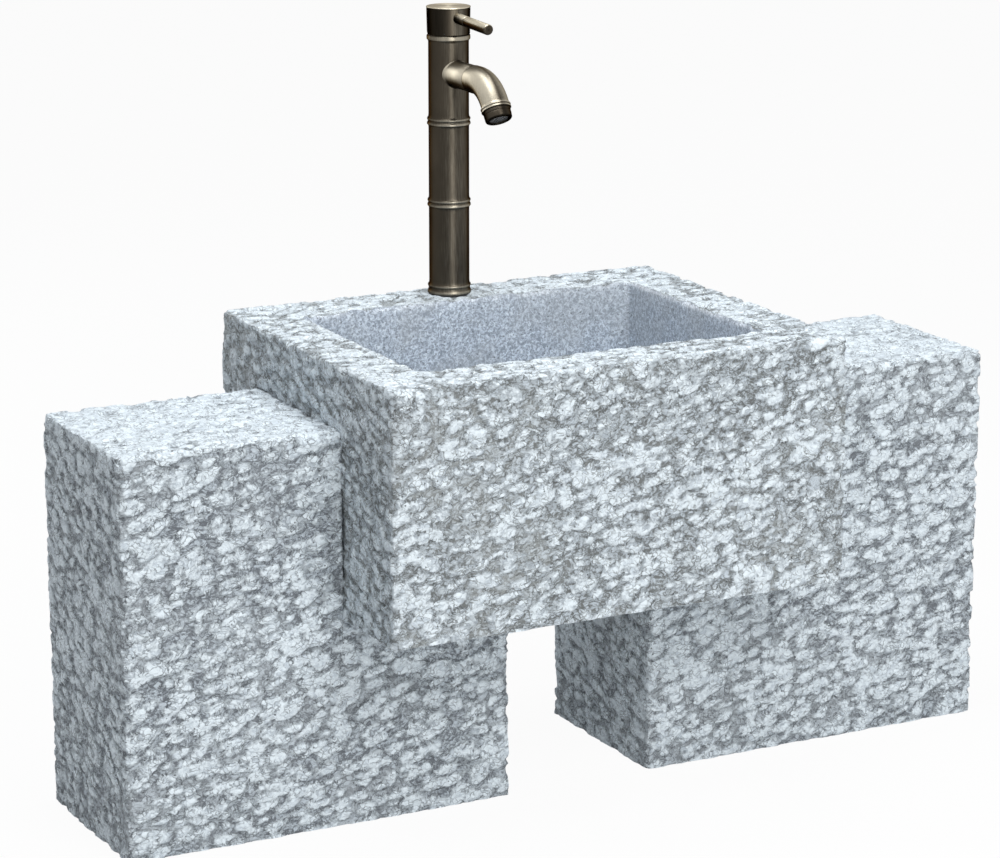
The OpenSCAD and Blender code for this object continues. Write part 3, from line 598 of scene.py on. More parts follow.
def rough_block(low, high, step, seed, top):
    """Vertices, faces and flake values, with their painted shadow, of a rough block. A grid of points covers
    its five worked faces and a single flat face closes the bottom. Points near an arris are drawn onto a
    rounded edge. Then each is moved along the normals of its own face and of any face within a few
    millimetres, by those faces' relief."""
    size = high - low
    n = np.maximum(np.round(size / step).astype(int), 2)
    i, j, k = [np.arange(c + 1) for c in n]

    def code(a, b, c):
        return (a * (n[1] + 1) + b) * (n[2] + 1) + c

    def patch(a, b, order):
        """Quads over the grid of ids that code() gives for two running indices."""
        ids = order(*np.meshgrid(a, b, indexing="ij"))
        return np.stack([ids[:-1, :-1], ids[1:, :-1], ids[1:, 1:], ids[:-1, 1:]], -1).reshape(-1, 4)

    quads = np.vstack([
        patch(k, j, lambda c, b: code(0 * b, b, c)),
        patch(j, k, lambda b, c: code(0 * b + n[0], b, c)),
        patch(i, k, lambda a, c: code(a, 0 * a, c)),
        patch(k, i, lambda c, a: code(a, 0 * a + n[1], c)),
        patch(i, j, lambda a, b: code(a, b, 0 * a + n[2])),
    ])
    edges = (code(0 * j, j, 0), code(i, n[1], 0), code(n[0], j[::-1], 0), code(i[::-1], 0, 0))
    bottom = np.concatenate([edge[:-1] for edge in edges])
    ids, flat = np.unique(np.concatenate([quads.ravel(), bottom]), return_inverse=True)
    quads, bottom = flat[: quads.size].reshape(-1, 4), flat[quads.size:]
    grid = np.stack([ids // ((n[1] + 1) * (n[2] + 1)), ids // (n[2] + 1) % (n[1] + 1), ids % (n[2] + 1)], -1)
    p = low + size * grid / n

    # Faces as (axis, side, the two axes that run along it)
    sides = [(0, 0, 1, 2), (0, 1, 1, 2), (1, 0, 0, 2), (1, 1, 0, 2), (2, 1, 0, 1)]
    shake, blend_width, calm_width = 0.55 * step, 0.007, 0.016
    loose = np.stack([spread(seed + 90 + a, *grid.T) - 0.5 for a in range(3)], -1) * shake
    on = [(grid[:, a] == (n[a] if side else 0)) for a, side, _, _ in sides]
    for (a, _, _, _), there in zip(sides, on):
        loose[there, a] = 0
    loose[grid[:, 2] == 0] = 0
    p = p + loose

    r = STONE().arris_radius
    core = np.clip(p, low + r, high - r)
    core[:, 2] = np.minimum(p[:, 2], high[2] - r)
    out = p - core
    reach = np.linalg.norm(out, axis=1, keepdims=True)
    many = (np.abs(out) > 1e-9).sum(1, keepdims=True) > 1
    rounded = np.where(many, core + out / np.maximum(reach, 1e-9) * r, p)

    move = np.zeros_like(p)
    flake = np.zeros(len(p))
    weight = np.zeros(len(p))
    share = []
    for f, (a, side, u, v) in enumerate(sides):
        plane = high[a] if side else low[a]
        w = ease(1 - np.abs(p[:, a] - plane) / blend_width)
        share.append(w)
        at = w > 0
        h, lit = worked_height(p[at, u], p[at, v], seed + 100 * f, a == 2, top if a == 2 else -0.5)
        inset = np.minimum.reduce([p[at, u] - low[u], high[u] - p[at, u], high[v] - p[at, v]])
        move[at, a] += (1 if side else -1) * w[at] * h * (0.45 + 0.55 * ease(inset / calm_width))
        flake[at] += w[at] * lit
        weight[at] += w[at]
    for f in range(5):
        for g in range(f + 1, 5):
            (a, sa, _, _), (b, sb, _, _) = sides[f], sides[g]
            both = share[f] * share[g]
            at = both > 0
            if a != b and at.any():
                run = 3 - a - b
                chip = both[at] * chipped(p[at, run], seed + 7 * f + g)
                move[at, a] -= (1 if sa else -1) * chip
                move[at, b] -= (1 if sb else -1) * chip
    foot = grid[:, 2] == 0
    move[foot, 2] = 0
    rounded[foot, 2] = low[2]
    return rounded + move, quads.tolist() + [bottom.tolist()], flake / np.maximum(weight, 1e-9)


def stone(name, slot, seed, top, pale=0.0):
    """A rough block over the CAD stone's box, in its slot's granite, that rides on the fixed body."""
    low, high, _ = span(name)
    step = STONE().grid_step * 1.0
    verts, faces, flake = rough_block(low, high, step, seed, top)
    # The flake mark holds the bruised flakes and a painted shadow below each flake's lower edge
    return finished(name + "_stone", (verts, faces), [material(slot), material("granite_honed")], "fountain",
                    [name], STONE_SHARP, {"flake": flake + pale})


# Settings


class StoneSettings(bpy.types.PropertyGroup):
    mark_length: bpy.props.FloatProperty(
        name="Mark length", description="Length of a point mark along the face",
        default=0.0235, unit="LENGTH")
    mark_height: bpy.props.FloatProperty(
        name="Mark height", description="Height of a point mark up the face", default=0.0115, unit="LENGTH")
    mark_depth: bpy.props.FloatProperty(
        name="Mark depth", description="Height of the flakes", default=0.0020, unit="LENGTH")
    arris_radius: bpy.props.FloatProperty(
        name="Arris radius", description="Rounding of the stones' edges", default=0.0020, unit="LENGTH")
    grid_step: bpy.props.FloatProperty(
        name="Grid step", description="Spacing of the stones' surface points", default=0.0027, unit="LENGTH")
    ragged: bpy.props.FloatProperty(
        name="Ragged", description="How much noise eats into the flakes", default=2.2)
    flake_start: bpy.props.FloatProperty(
        name="Flake start", description="Sum of mark and noise where a flake begins", default=-0.65)
    flake_full: bpy.props.FloatProperty(
        name="Flake full", description="Sum where the flake is at its palest", default=0.55)
    flake_colour: bpy.props.FloatVectorProperty(
        name="Flake colour", description="Bruised granite", default=(0.80, 0.882, 0.94), subtype="COLOR")
    grey_colour: bpy.props.FloatVectorProperty(
        name="Grey colour", description="Unbruised granite", default=(0.575, 0.645, 0.71), subtype="COLOR")
    pool_corner: bpy.props.FloatProperty(
        name="Pool corner", description="Radius of the pool's upright corners", default=0.005, unit="LENGTH")


class TapSettings(bpy.types.PropertyGroup):
    patina_colour: bpy.props.FloatVectorProperty(
        name="Patina colour", description="Dark bronzed brass",
        default=(0.044, 0.037, 0.028), subtype="COLOR")
    # Gold of worn ridges, also used for painted highlights and the painted reflection on the cap's top
    worn_and_highlight_colour: bpy.props.FloatVectorProperty(
        name="Rubbed colour", description="Brass where the patina is worn",
        default=(0.62, 0.57, 0.46), subtype="COLOR")
    gloss_low: bpy.props.FloatProperty(
        name="Least roughness", description="Roughness of the smooth streaks", default=0.32)
    gloss_high: bpy.props.FloatProperty(
        name="Most roughness", description="Roughness of the dull streaks", default=0.42)
    first_node: bpy.props.FloatProperty(
        name="First node", description="Height of the lowest node above the ledge",
        default=0.097, unit="LENGTH")
    node_pitch: bpy.props.FloatProperty(
        name="Node pitch", description="Distance from node to node", default=0.085, unit="LENGTH")
    node_height: bpy.props.FloatProperty(
        name="Node height", description="Height of a node ring", default=0.008, unit="LENGTH")
    node_rise: bpy.props.FloatProperty(
        name="Node rise", description="How far a node ring stands out", default=0.0016, unit="LENGTH")
    spout_drop: bpy.props.FloatProperty(
        name="Spout drop", description="Spout axis below the head's ridge", default=0.035, unit="LENGTH")
    spout_bend: bpy.props.FloatProperty(
        name="Spout bend", description="Radius of the spout's bend", default=0.045, unit="LENGTH")
    spout_straight: bpy.props.FloatProperty(
        name="Spout straight", description="Start of the bend from the tap's axis",
        default=0.066, unit="LENGTH")
    spout_angle: bpy.props.FloatProperty(
        name="Spout angle", description="Angle that the spout turns down",
        default=math.radians(58), subtype="ANGLE")
    spout_radius: bpy.props.FloatProperty(
        name="Spout radius", description="Outer radius of the spout", default=0.0144, unit="LENGTH")
    socket_reach: bpy.props.FloatProperty(
        name="Socket reach", description="End of the straight socket", default=0.057, unit="LENGTH")
    nozzle_length: bpy.props.FloatProperty(
        name="Nozzle length", description="Aerator that shows below the last ring",
        default=0.0105, unit="LENGTH")
    head_ring: bpy.props.FloatProperty(
        name="Head ring", description="Height of the ridge under the cap", default=0.0055, unit="LENGTH")
    cap_flare: bpy.props.FloatProperty(
        name="Cap flare", description="How much wider the cap is at its top", default=0.0006, unit="LENGTH")
    lever_rise: bpy.props.FloatProperty(
        name="Lever rise", description="Height of the lever's line above the tilting axis",
        default=0.007, unit="LENGTH")
    lever_droop: bpy.props.FloatProperty(
        name="Lever droop", description="Angle that the closed lever points down",
        default=math.radians(3), subtype="ANGLE")
    lift_angle: bpy.props.FloatProperty(
        name="Lift angle", description="Angle that the lever lifts",
        default=math.radians(20), subtype="ANGLE")


class StageSettings(bpy.types.PropertyGroup):
    camera_place: bpy.props.FloatVectorProperty(
        name="Camera place", description="Where the photograph was taken from",
        default=(-1.59523, -2.97725, 1.21294), subtype="TRANSLATION")
    camera_yaw: bpy.props.FloatProperty(
        name="Camera yaw", description="Turn of the view to the right", default=0.4816, subtype="ANGLE")
    camera_pitch: bpy.props.FloatProperty(
        name="Camera pitch", description="Dip of the view below level", default=0.2502, subtype="ANGLE")
    lens: bpy.props.FloatProperty(
        name="Lens", description="Focal length on a 36 mm wide frame", default=124.02)
    key_power: bpy.props.FloatProperty(
        name="Key power", description="Large light high in front", default=42.0)
    overhead_power: bpy.props.FloatProperty(
        name="Overhead power", description="Large light above", default=42.0)
    panel_power: bpy.props.FloatProperty(
        name="Panel power", description="Standing light in front", default=22.0)
    back_power: bpy.props.FloatProperty(
        name="Back power", description="Standing light behind", default=16.0)
    sky: bpy.props.FloatProperty(
        name="Sky", description="Strength of the even light all round", default=0.32)


def STONE():
    return bpy.context.scene.fountain_stone


def TAP():
    return bpy.context.scene.fountain_tap


def STAGE():
    return bpy.context.scene.fountain_stage


# Tap forms

# Node ring as (share of the rise, share of half the height): two ridges, a groove, and flared ends
RING = [(0, -1.7), (0.12, -1.25), (0.45, -1.02), (0.95, -0.9), (1.0, -0.55), (0.8, -0.3), (0.42, -0.12),
        (0.36, 0.0), (0.42, 0.12), (0.75, 0.28), (0.92, 0.48), (0.88, 0.74), (0.4, 0.95), (0.12, 1.2),
        (0, 1.7)]
# Height of the ring at the spout's end, and its rise as a share of a node's
END_RING, END_SHARE = 0.005, 0.75
# Ridge under the cap as (share of the rise, share of its height below the column's top)
HEAD_RIDGE = [(0, 1.3), (0.25, 1), (0.95, 0.85), (1, 0.6), (1, 0.25), (0.7, 0)]


def ring_outline(r, z, tap, above=-9.0):
    """Profile of a node ring round a culm of radius r at height z, from a share of half its height upward."""
    return [(r + k * tap.node_rise, z + q * tap.node_height / 2) for k, q in RING if q > above]


def ridge_wear(profile, base, rise):
    """Wear of each ring of a profile: how far it stands out from the base radius, as a share of the rise."""
    return np.clip((np.asarray(profile)[:, 0] - base) / rise, 0, 1) ** 1.5


def tap_axis():
    """Middle of the tap where it stands on the ledge: the CAD column's middle, at the gasket's underside."""
    middle = span("tap_column")[2]
    return np.array([middle[0], middle[1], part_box("base_gasket")[0][2]])


def culm_radius(tap):
    """Outer radius of the culm between two nodes."""
    low, high, _ = span("tap_column")
    return (high[0] - low[0]) / 2 - tap.node_rise


def spout_path(tap):
    """Path of the spout, by distance from the tap's axis: straight forward, then a circular arc downward."""
    axis = tap_axis()
    level = axis[2] + tap.first_node + 2 * tap.node_pitch - tap.spout_drop

    def path(s):
        s = np.asarray(s, float)
        bent = np.clip(s - tap.spout_straight, 0, tap.spout_bend * tap.spout_angle)
        rest = s - tap.spout_straight - bent
        a = bent / tap.spout_bend
        straight = np.minimum(s, tap.spout_straight)
        ahead = straight + tap.spout_bend * np.sin(a) + np.maximum(rest, 0) * np.cos(a)
        drop = tap.spout_bend * (1 - np.cos(a)) + np.maximum(rest, 0) * np.sin(a)
        place = np.stack([0 * s + axis[0], axis[1] - ahead, level - drop], -1)
        return place, np.stack([0 * s, -np.cos(a), -np.sin(a)], -1)

    return path


# Operators


class FOUNTAIN_OT_stage(bpy.types.Operator):
    """Camera at the photograph's place, soft studio light, a plain pale floor and a white background"""

    bl_idname = "fountain.stage"
    bl_label = "Stage"

    def execute(self, context):
        scene = context.scene
        scene.view_settings.view_transform = "Standard"
        s = STAGE()
        camera = bpy.data.objects.new("camera", bpy.data.cameras.new("camera"))
        scene.collection.objects.link(camera)
        camera.data.sensor_fit = "HORIZONTAL"
        camera.data.sensor_width = 36.0
        camera.data.lens = s.lens
        camera.data.clip_end = 60.0
        camera.location = s.camera_place
        camera.rotation_euler = (math.pi / 2 - s.camera_pitch, 0, -s.camera_yaw)
        scene.camera = camera

        world = bpy.data.worlds.new("studio")
        scene.world = world
        world.use_nodes = True
        tree = world.node_tree
        tree.nodes.clear()
        mix = tree.nodes.new("ShaderNodeMixShader")
        tree.links.new(self.seen_rays(tree), mix.inputs["Fac"])
        # The light that falls on things, and the white that the camera sees
        shades = (((0.95, 0.975, 1.0, 1), s.sky), ((1, 1, 1, 1), 1.0))
        for socket, (tint, strength) in zip(mix.inputs[1:], shades):
            shade = tree.nodes.new("ShaderNodeBackground")
            shade.inputs["Color"].default_value = tint
            shade.inputs["Strength"].default_value = strength
            tree.links.new(shade.outputs[0], socket)
        out = tree.nodes.new("ShaderNodeOutputWorld")
        tree.links.new(mix.outputs[0], out.inputs["Surface"])

        # Each lamp's name, power, place, target, size and colour
        for lamp in (
            ("key", s.key_power, (0.25, -2.4, 2.5), (0, 0, 0.3), (1.2, 1.0), (1.0, 0.995, 0.985)),
            ("overhead", s.overhead_power, (-0.15, 0.1, 2.6), (0.1, 0, 0.4), (2.2, 1.4), (0.985, 0.995, 1.0)),
            ("panel", s.panel_power, (-0.35, -2.75, 0.75), (0, 0.17, 0.6), (1.1, 1.4), (1.0, 0.99, 0.97)),
            ("back", s.back_power, (-0.9, 2.6, 0.85), (0, 0.1, 0.5), (1.0, 1.5), (0.97, 0.985, 1.0)),
        ):
            self.lamp(*lamp)

        floor = bpy.data.objects.new("floor", bpy.data.meshes.new("floor"))
        scene.collection.objects.link(floor)
        reach = 9
        corners = [(-reach, -reach, 0), (reach, -reach, 0), (reach, reach, 0), (-reach, reach, 0)]
        floor.data.from_pydata(corners, [], [(0, 1, 2, 3)])
        floor.data.materials.append(self.floor_finish())
        return {"FINISHED"}

    @staticmethod
    def seen_rays(tree):
        """1 for rays from the camera, in reflections and through glass, and 0 for the light that falls on
        things."""
        path = tree.nodes.new("ShaderNodeLightPath")
        total = path.outputs["Is Camera Ray"]
        for name in ("Is Glossy Ray", "Is Transmission Ray"):
            both = tree.nodes.new("ShaderNodeMath")
            both.operation = "MAXIMUM"
            tree.links.new(total, both.inputs[0])
            tree.links.new(path.outputs[name], both.inputs[1])
            total = both.outputs[0]
        return total

    @staticmethod
    def lamp(name, power, place, target, size, colour):
        """Rectangular area light that faces its target."""
        data = bpy.data.lights.new(name, "AREA")
        data.shape = "RECTANGLE"
        data.size, data.size_y = size
        data.energy = power
        data.color = colour
        light = bpy.data.objects.new(name, data)
        bpy.context.scene.collection.objects.link(light)
        light.location = place
        aim = light.location - Vector(target)
        light.rotation_euler = aim.to_track_quat("Z", "Y").to_euler()

    def floor_finish(self):
        """Pale grey that takes the shadow, with a share of plain white for the rays that see it."""
        f = Finish("pale_floor")
        f.finish((0.72, 0.72, 0.72), 0.9, Specular_IOR_Level=0.1)
        glow = f.add("ShaderNodeEmission", Color=(1, 1, 1), Strength=1.0)
        mix = f.add("ShaderNodeMixShader", Fac=f.math("MULTIPLY", self.seen_rays(f.tree), 0.95))
        f.feed(f.shader.outputs[0], mix.inputs[1])
        f.feed(glow.outputs[0], mix.inputs[2])
        f.feed(mix.outputs[0], f.out.inputs["Surface"])
        return f.material


class FOUNTAIN_OT_plumbing(bpy.types.Operator):
    """Gives every CAD part that still shows the material of its slot"""

    bl_idname = "fountain.plumbing"
    bl_label = "Plumbing finishes"

    def execute(self, context):
        for node, piece in frame["nodes"].items():
            piece.data.materials.clear()
            piece.data.materials.append(material(SLOT_OF[node]))
        return {"FINISHED"}


def pedestal(name, side, seed, top, pale=0.0):
    """A rough pedestal on the left (side -1) or the right (1), with its seat cut out: from the shoulder's
    wall to past the pedestal's end, and from the basin's bottom up."""
    piece = stone(name, "granite_pedestal", seed, top, pale)
    low, high, _ = span(name)
    basin_low, basin_high, _ = span("basin")
    gap, past = 0.0012, 0.05
    a, b = low - past, high + past
    a[2] = basin_low[2]
    if side < 0:
        a[0] = basin_low[0] - gap
    else:
        b[0] = basin_high[0] + gap
    cut_away(piece, box_rings(a, b))
    smooth(piece.data, STONE_SHARP)


class FOUNTAIN_OT_left_pedestal(bpy.types.Operator):
    """Rough-hewn left pedestal with its sawn seat"""

    bl_idname = "fountain.left_pedestal"
    bl_label = "Left pedestal"

    def execute(self, context):
        pedestal("left_pedestal", -1, 11, 0.3)
        return {"FINISHED"}


class FOUNTAIN_OT_right_pedestal(bpy.types.Operator):
    """Rough-hewn right pedestal with its sawn seat"""

    bl_idname = "fountain.right_pedestal"
    bl_label = "Right pedestal"

    def execute(self, context):
        pedestal("right_pedestal", 1, 23, 0.15, 0.12)
        return {"FINISHED"}


class FOUNTAIN_OT_basin(bpy.types.Operator):
    """Rough-hewn basin with a honed pool, a dished floor, the waste's and the tap's holes, and the chase"""

    bl_idname = "fountain.basin"
    bl_label = "Basin"

    def execute(self, context):
        piece = stone("basin", "granite_basin", 37, -0.1)
        self.cut_pool(piece)
        self.cut_chase(piece)
        smooth(piece.data, STONE_SHARP)
        return {"FINISHED"}

    @staticmethod
    def cut_pool(piece):
        """Takes out the pool, from above the rim to below the stone: rings of one count from the top down."""
        low, high, _ = span("basin")
        waste_low, waste_high, middle = span("waste_body")
        waste = middle[:2]
        left, right, front, back = 0.060, 0.062, 0.062, 0.072
        fall, dish_r, hole_r, recess_r = 0.004, 0.115, 0.023, 0.045
        flange_r = (waste_high[0] - waste_low[0]) / 2 + 0.001
        rim, floor = high[2], waste_high[2] + fall
        count = 264
        base = round_corners(low[0] + left, low[1] + front, high[0] - right, high[1] - back,
                             STONE().pool_corner, count)
        out = base - waste
        out /= np.linalg.norm(out, axis=1, keepdims=True)
        # Walls: the chipped lip opens outward and dies away a few millimetres down, the wall waves a little,
        # and a cove leads into the floor
        heights = np.concatenate([
            [rim + 0.02, rim + 0.004],
            np.linspace(rim + 0.0005, rim - 0.006, 5),
            np.linspace(rim - 0.012, floor + 0.004, 14),
            [floor + 0.0012, floor + 0.0003],
        ])
        run = np.arange(count) * 0.0049
        rows = []
        for z in heights:
            deep = max(rim - z, 0.0)
            lip = 0.0022 * math.exp(-deep / 0.0022) * (0.3 + 1.4 * swell(run / 0.012, 0 * run, 5))
            wave = 0.0006 * (swell(run / 0.05, 0 * run + z / 0.05, 9) - 0.5)
            cove = -0.003 * max(0.0, 1 - (z - floor) / 0.004) ** 2
            rows.append(at_height(base + out * (lip + wave + cove)[:, None], z))
        # Floor: flat, then a dish that falls to the waste's flange, its seat, its hole and the nut's recess
        flat, dish = base - out * 0.004, circle(waste, dish_r, base)
        for t in (0.0, 0.33, 0.66, 1.0):
            rows.append(at_height(flat * (1 - t) + dish * t, floor))
        for t in (0.25, 0.5, 0.75, 1.0):
            rows.append(at_height(circle(waste, dish_r + (flange_r - dish_r) * t, base), floor - fall * t))
        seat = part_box("waste_top_gasket")[0][2]
        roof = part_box("waste_bottom_gasket")[1][2]
        under = low[2] - 0.01
        for r, z in ((flange_r, seat), (hole_r, seat), (hole_r, roof), (recess_r, roof), (recess_r, under)):
            rows.append(at_height(circle(waste, r, base), z))
        cut_away(piece, rows[::-1])

    @staticmethod
    def cut_chase(piece):
        """Takes out the service chase, round in front and open at the back, and the tap's hole above it."""
        low, high, _ = span("basin")
        axis = tap_axis()
        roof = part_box("shank_rubber_washer")[1][2]
        chase_r, hole_r, past, half = 0.026, 0.0175, 0.02, 24
        a = np.linspace(0, np.pi, half) + np.pi
        arc = np.column_stack([axis[0] + chase_r * np.cos(a), axis[1] + chase_r * np.sin(a)])
        across_back = np.linspace(axis[0] + chase_r, axis[0] - chase_r, half + 2)[1:-1]
        chase = np.vstack([arc, np.column_stack([across_back, np.full(half, high[1] + past)])])
        hole = circle(axis[:2], hole_r, chase)
        cut_away(piece, [at_height(chase, low[2] - 0.01), at_height(chase, roof), at_height(hole, roof),
                         at_height(hole, high[2] + past)])


class FOUNTAIN_OT_tap_column(bpy.types.Operator):
    """Bamboo culm of the tap: a turned tube with a foot, two node rings and a head ring"""

    bl_idname = "fountain.tap_column"
    bl_label = "Tap column"

    def execute(self, context):
        tap = TAP()
        axis = tap_axis()
        low, high, _ = span("tap_column")
        r, rise = culm_radius(tap), tap.node_rise
        bore = r - 0.002
        foot, top = low[2] - axis[2], high[2] - axis[2]
        out = [(bore, foot), (r + 0.8 * rise, foot), (r + rise, foot + 0.0006), (r + rise, foot + 0.0026),
               (r + 0.5 * rise, foot + 0.0036)]
        out += [(a, b + foot + 0.0034) for a, b in ring_outline(r, 0.0025, tap, 0.05)]
        for k in range(2):
            out += ring_outline(r, tap.first_node + k * tap.node_pitch, tap)
        out += [(r + k * rise, top - q * tap.head_ring) for k, q in HEAD_RIDGE]
        out += [(bore, top)]
        profile = soften(out, 0.0006)
        rings = turned(profile, axis, 128)
        wear_and_painted_light = np.repeat(ridge_wear(profile, r, rise), rings.shape[1])
        culm = in_brass("tap_culm", skin(rings, wrapped=True), "tap_column", 0.06 + 0.3 * wear_and_painted_light)
        # Painted highlight: a broad lighter band on the side that faces front; painted shade on the sides
        # away from it
        paint_highlight_and_shade(culm, (-0.2, -1, 0), -0.12, 0.16, 2)
        return {"FINISHED"}


class FOUNTAIN_OT_spout(bpy.types.Operator):
    """Spout: a socket saddled onto the culm, a bent tube that ends in a node ring, and the aerator's mouth"""

    bl_idname = "fountain.spout"
    bl_label = "Spout"

    def execute(self, context):
        tap = TAP()
        path = spout_path(tap)
        count = 96
        end = tap.spout_straight + tap.spout_bend * tap.spout_angle
        self.socket(tap, path, count)
        self.tube(tap, path, count, end)
        self.nozzle(tap, path, count, end + END_RING)
        return {"FINISHED"}

    @staticmethod
    def socket(tap, path, count):
        """Straight stub: its start follows the culm's round wall, with a small swelling of solder."""
        axis = tap_axis()
        r, fillet = tap.spout_radius - 0.0005, 0.0025
        a = np.linspace(0, 2 * np.pi, count, endpoint=False)
        saddle = np.sqrt(culm_radius(tap) ** 2 - (r * np.cos(a)) ** 2)
        level = path(np.array([0.0]))[0][0, 2]
        rows = []
        solder = ((-0.003, 0.0009), (0.0, 0.0009), (0.0005, 0.0006), (0.0012, 0.00025), (fillet, 0.0))
        for t, swelling in solder:
            rows.append((saddle + t, r + swelling))
        for t, sunk in ((0.5, 0), (0.97, 0), (1.0, 0.0004)):
            rows.append((saddle + fillet + (tap.socket_reach - saddle - fillet) * t, r - sunk))
        rows.append((np.full(count, tap.socket_reach), r - 0.004))
        rings = np.array([np.stack([axis[0] + q * np.cos(a), axis[1] - s, level + q * np.sin(a)], -1)
                          for s, q in rows])
        stub = in_brass("spout_stub", skin(rings), "spout_socket", 0.1)
        # Painted highlight on the upper sides of the stub, and painted shade underneath
        paint_highlight_and_shade(stub, (-0.85, 0, 0.55), -0.3, 0.7, 1.6)

    @staticmethod
    def tube(tap, path, count, end):
        """Bent tube: a straight start with an eased edge, the arc, and a ring at its end."""
        q, reach = tap.spout_radius, tap.socket_reach
        ring = [(q + END_SHARE * k * tap.node_rise, end + (1 + s) * END_RING / 2)
                for k, s in RING if -1.1 < s < 1]
        arc = np.linspace(tap.spout_straight, end - 0.0012, 22)
        out = [(q - 0.003, reach), (q - 0.0005, reach), (q, reach + 0.0006), (q, tap.spout_straight - 0.003)]
        out += [(q, s) for s in arc] + ring
        out += [(q, end + END_RING), (q - 0.0017, end + END_RING), (q - 0.0017, end)]
        out += [(q - 0.002, s) for s in arc[::-3]]
        profile = soften(out, 0.0004, closed=True)
        edge = np.clip((profile[:, 0] - q) / (END_SHARE * tap.node_rise), 0, 1)
        wear_and_painted_light = np.repeat(0.1 + 0.25 * edge, count)
        tube = in_brass("spout_tube", skin(carried(profile, path, count), wrapped=True), "spout_elbow", wear_and_painted_light)
        # Painted highlight along the upper sides of the bent tube, and painted shade underneath
        paint_highlight_and_shade(tube, (-0.8, -0.25, 0.6), -0.3, 0.62, 1.6)

    @staticmethod
    def nozzle(tap, path, count, z):
        """The aerator's housing, from its start at distance z, open at its mouth where the grid shows."""
        q, bore = tap.spout_radius - 0.0003, 0.011
        mouth = z + tap.nozzle_length
        out = [(bore, z - 0.0048), (q - 0.0015, z - 0.0048), (q - 0.0015, z), (q, z), (q, z + 0.003),
               (q - 0.00035, z + 0.0036), (q, z + 0.0042), (q - 0.0003, mouth - 0.0012), (q - 0.0013, mouth),
               (bore - 0.0012, mouth), (bore - 0.0012, mouth - 0.0015), (bore, mouth - 0.0015)]
        rings = carried(soften(out, 0.0003, closed=True), path, count)
        nozzle = in_brass("spout_nozzle", skin(rings, wrapped=True), "aerator_housing", 0.0)
        # Painted highlight in a narrow band on the upper sides, and painted shade elsewhere
        paint_highlight_and_shade(nozzle, (-0.6, -0.4, 0.5), -0.4, 0.3, 6)


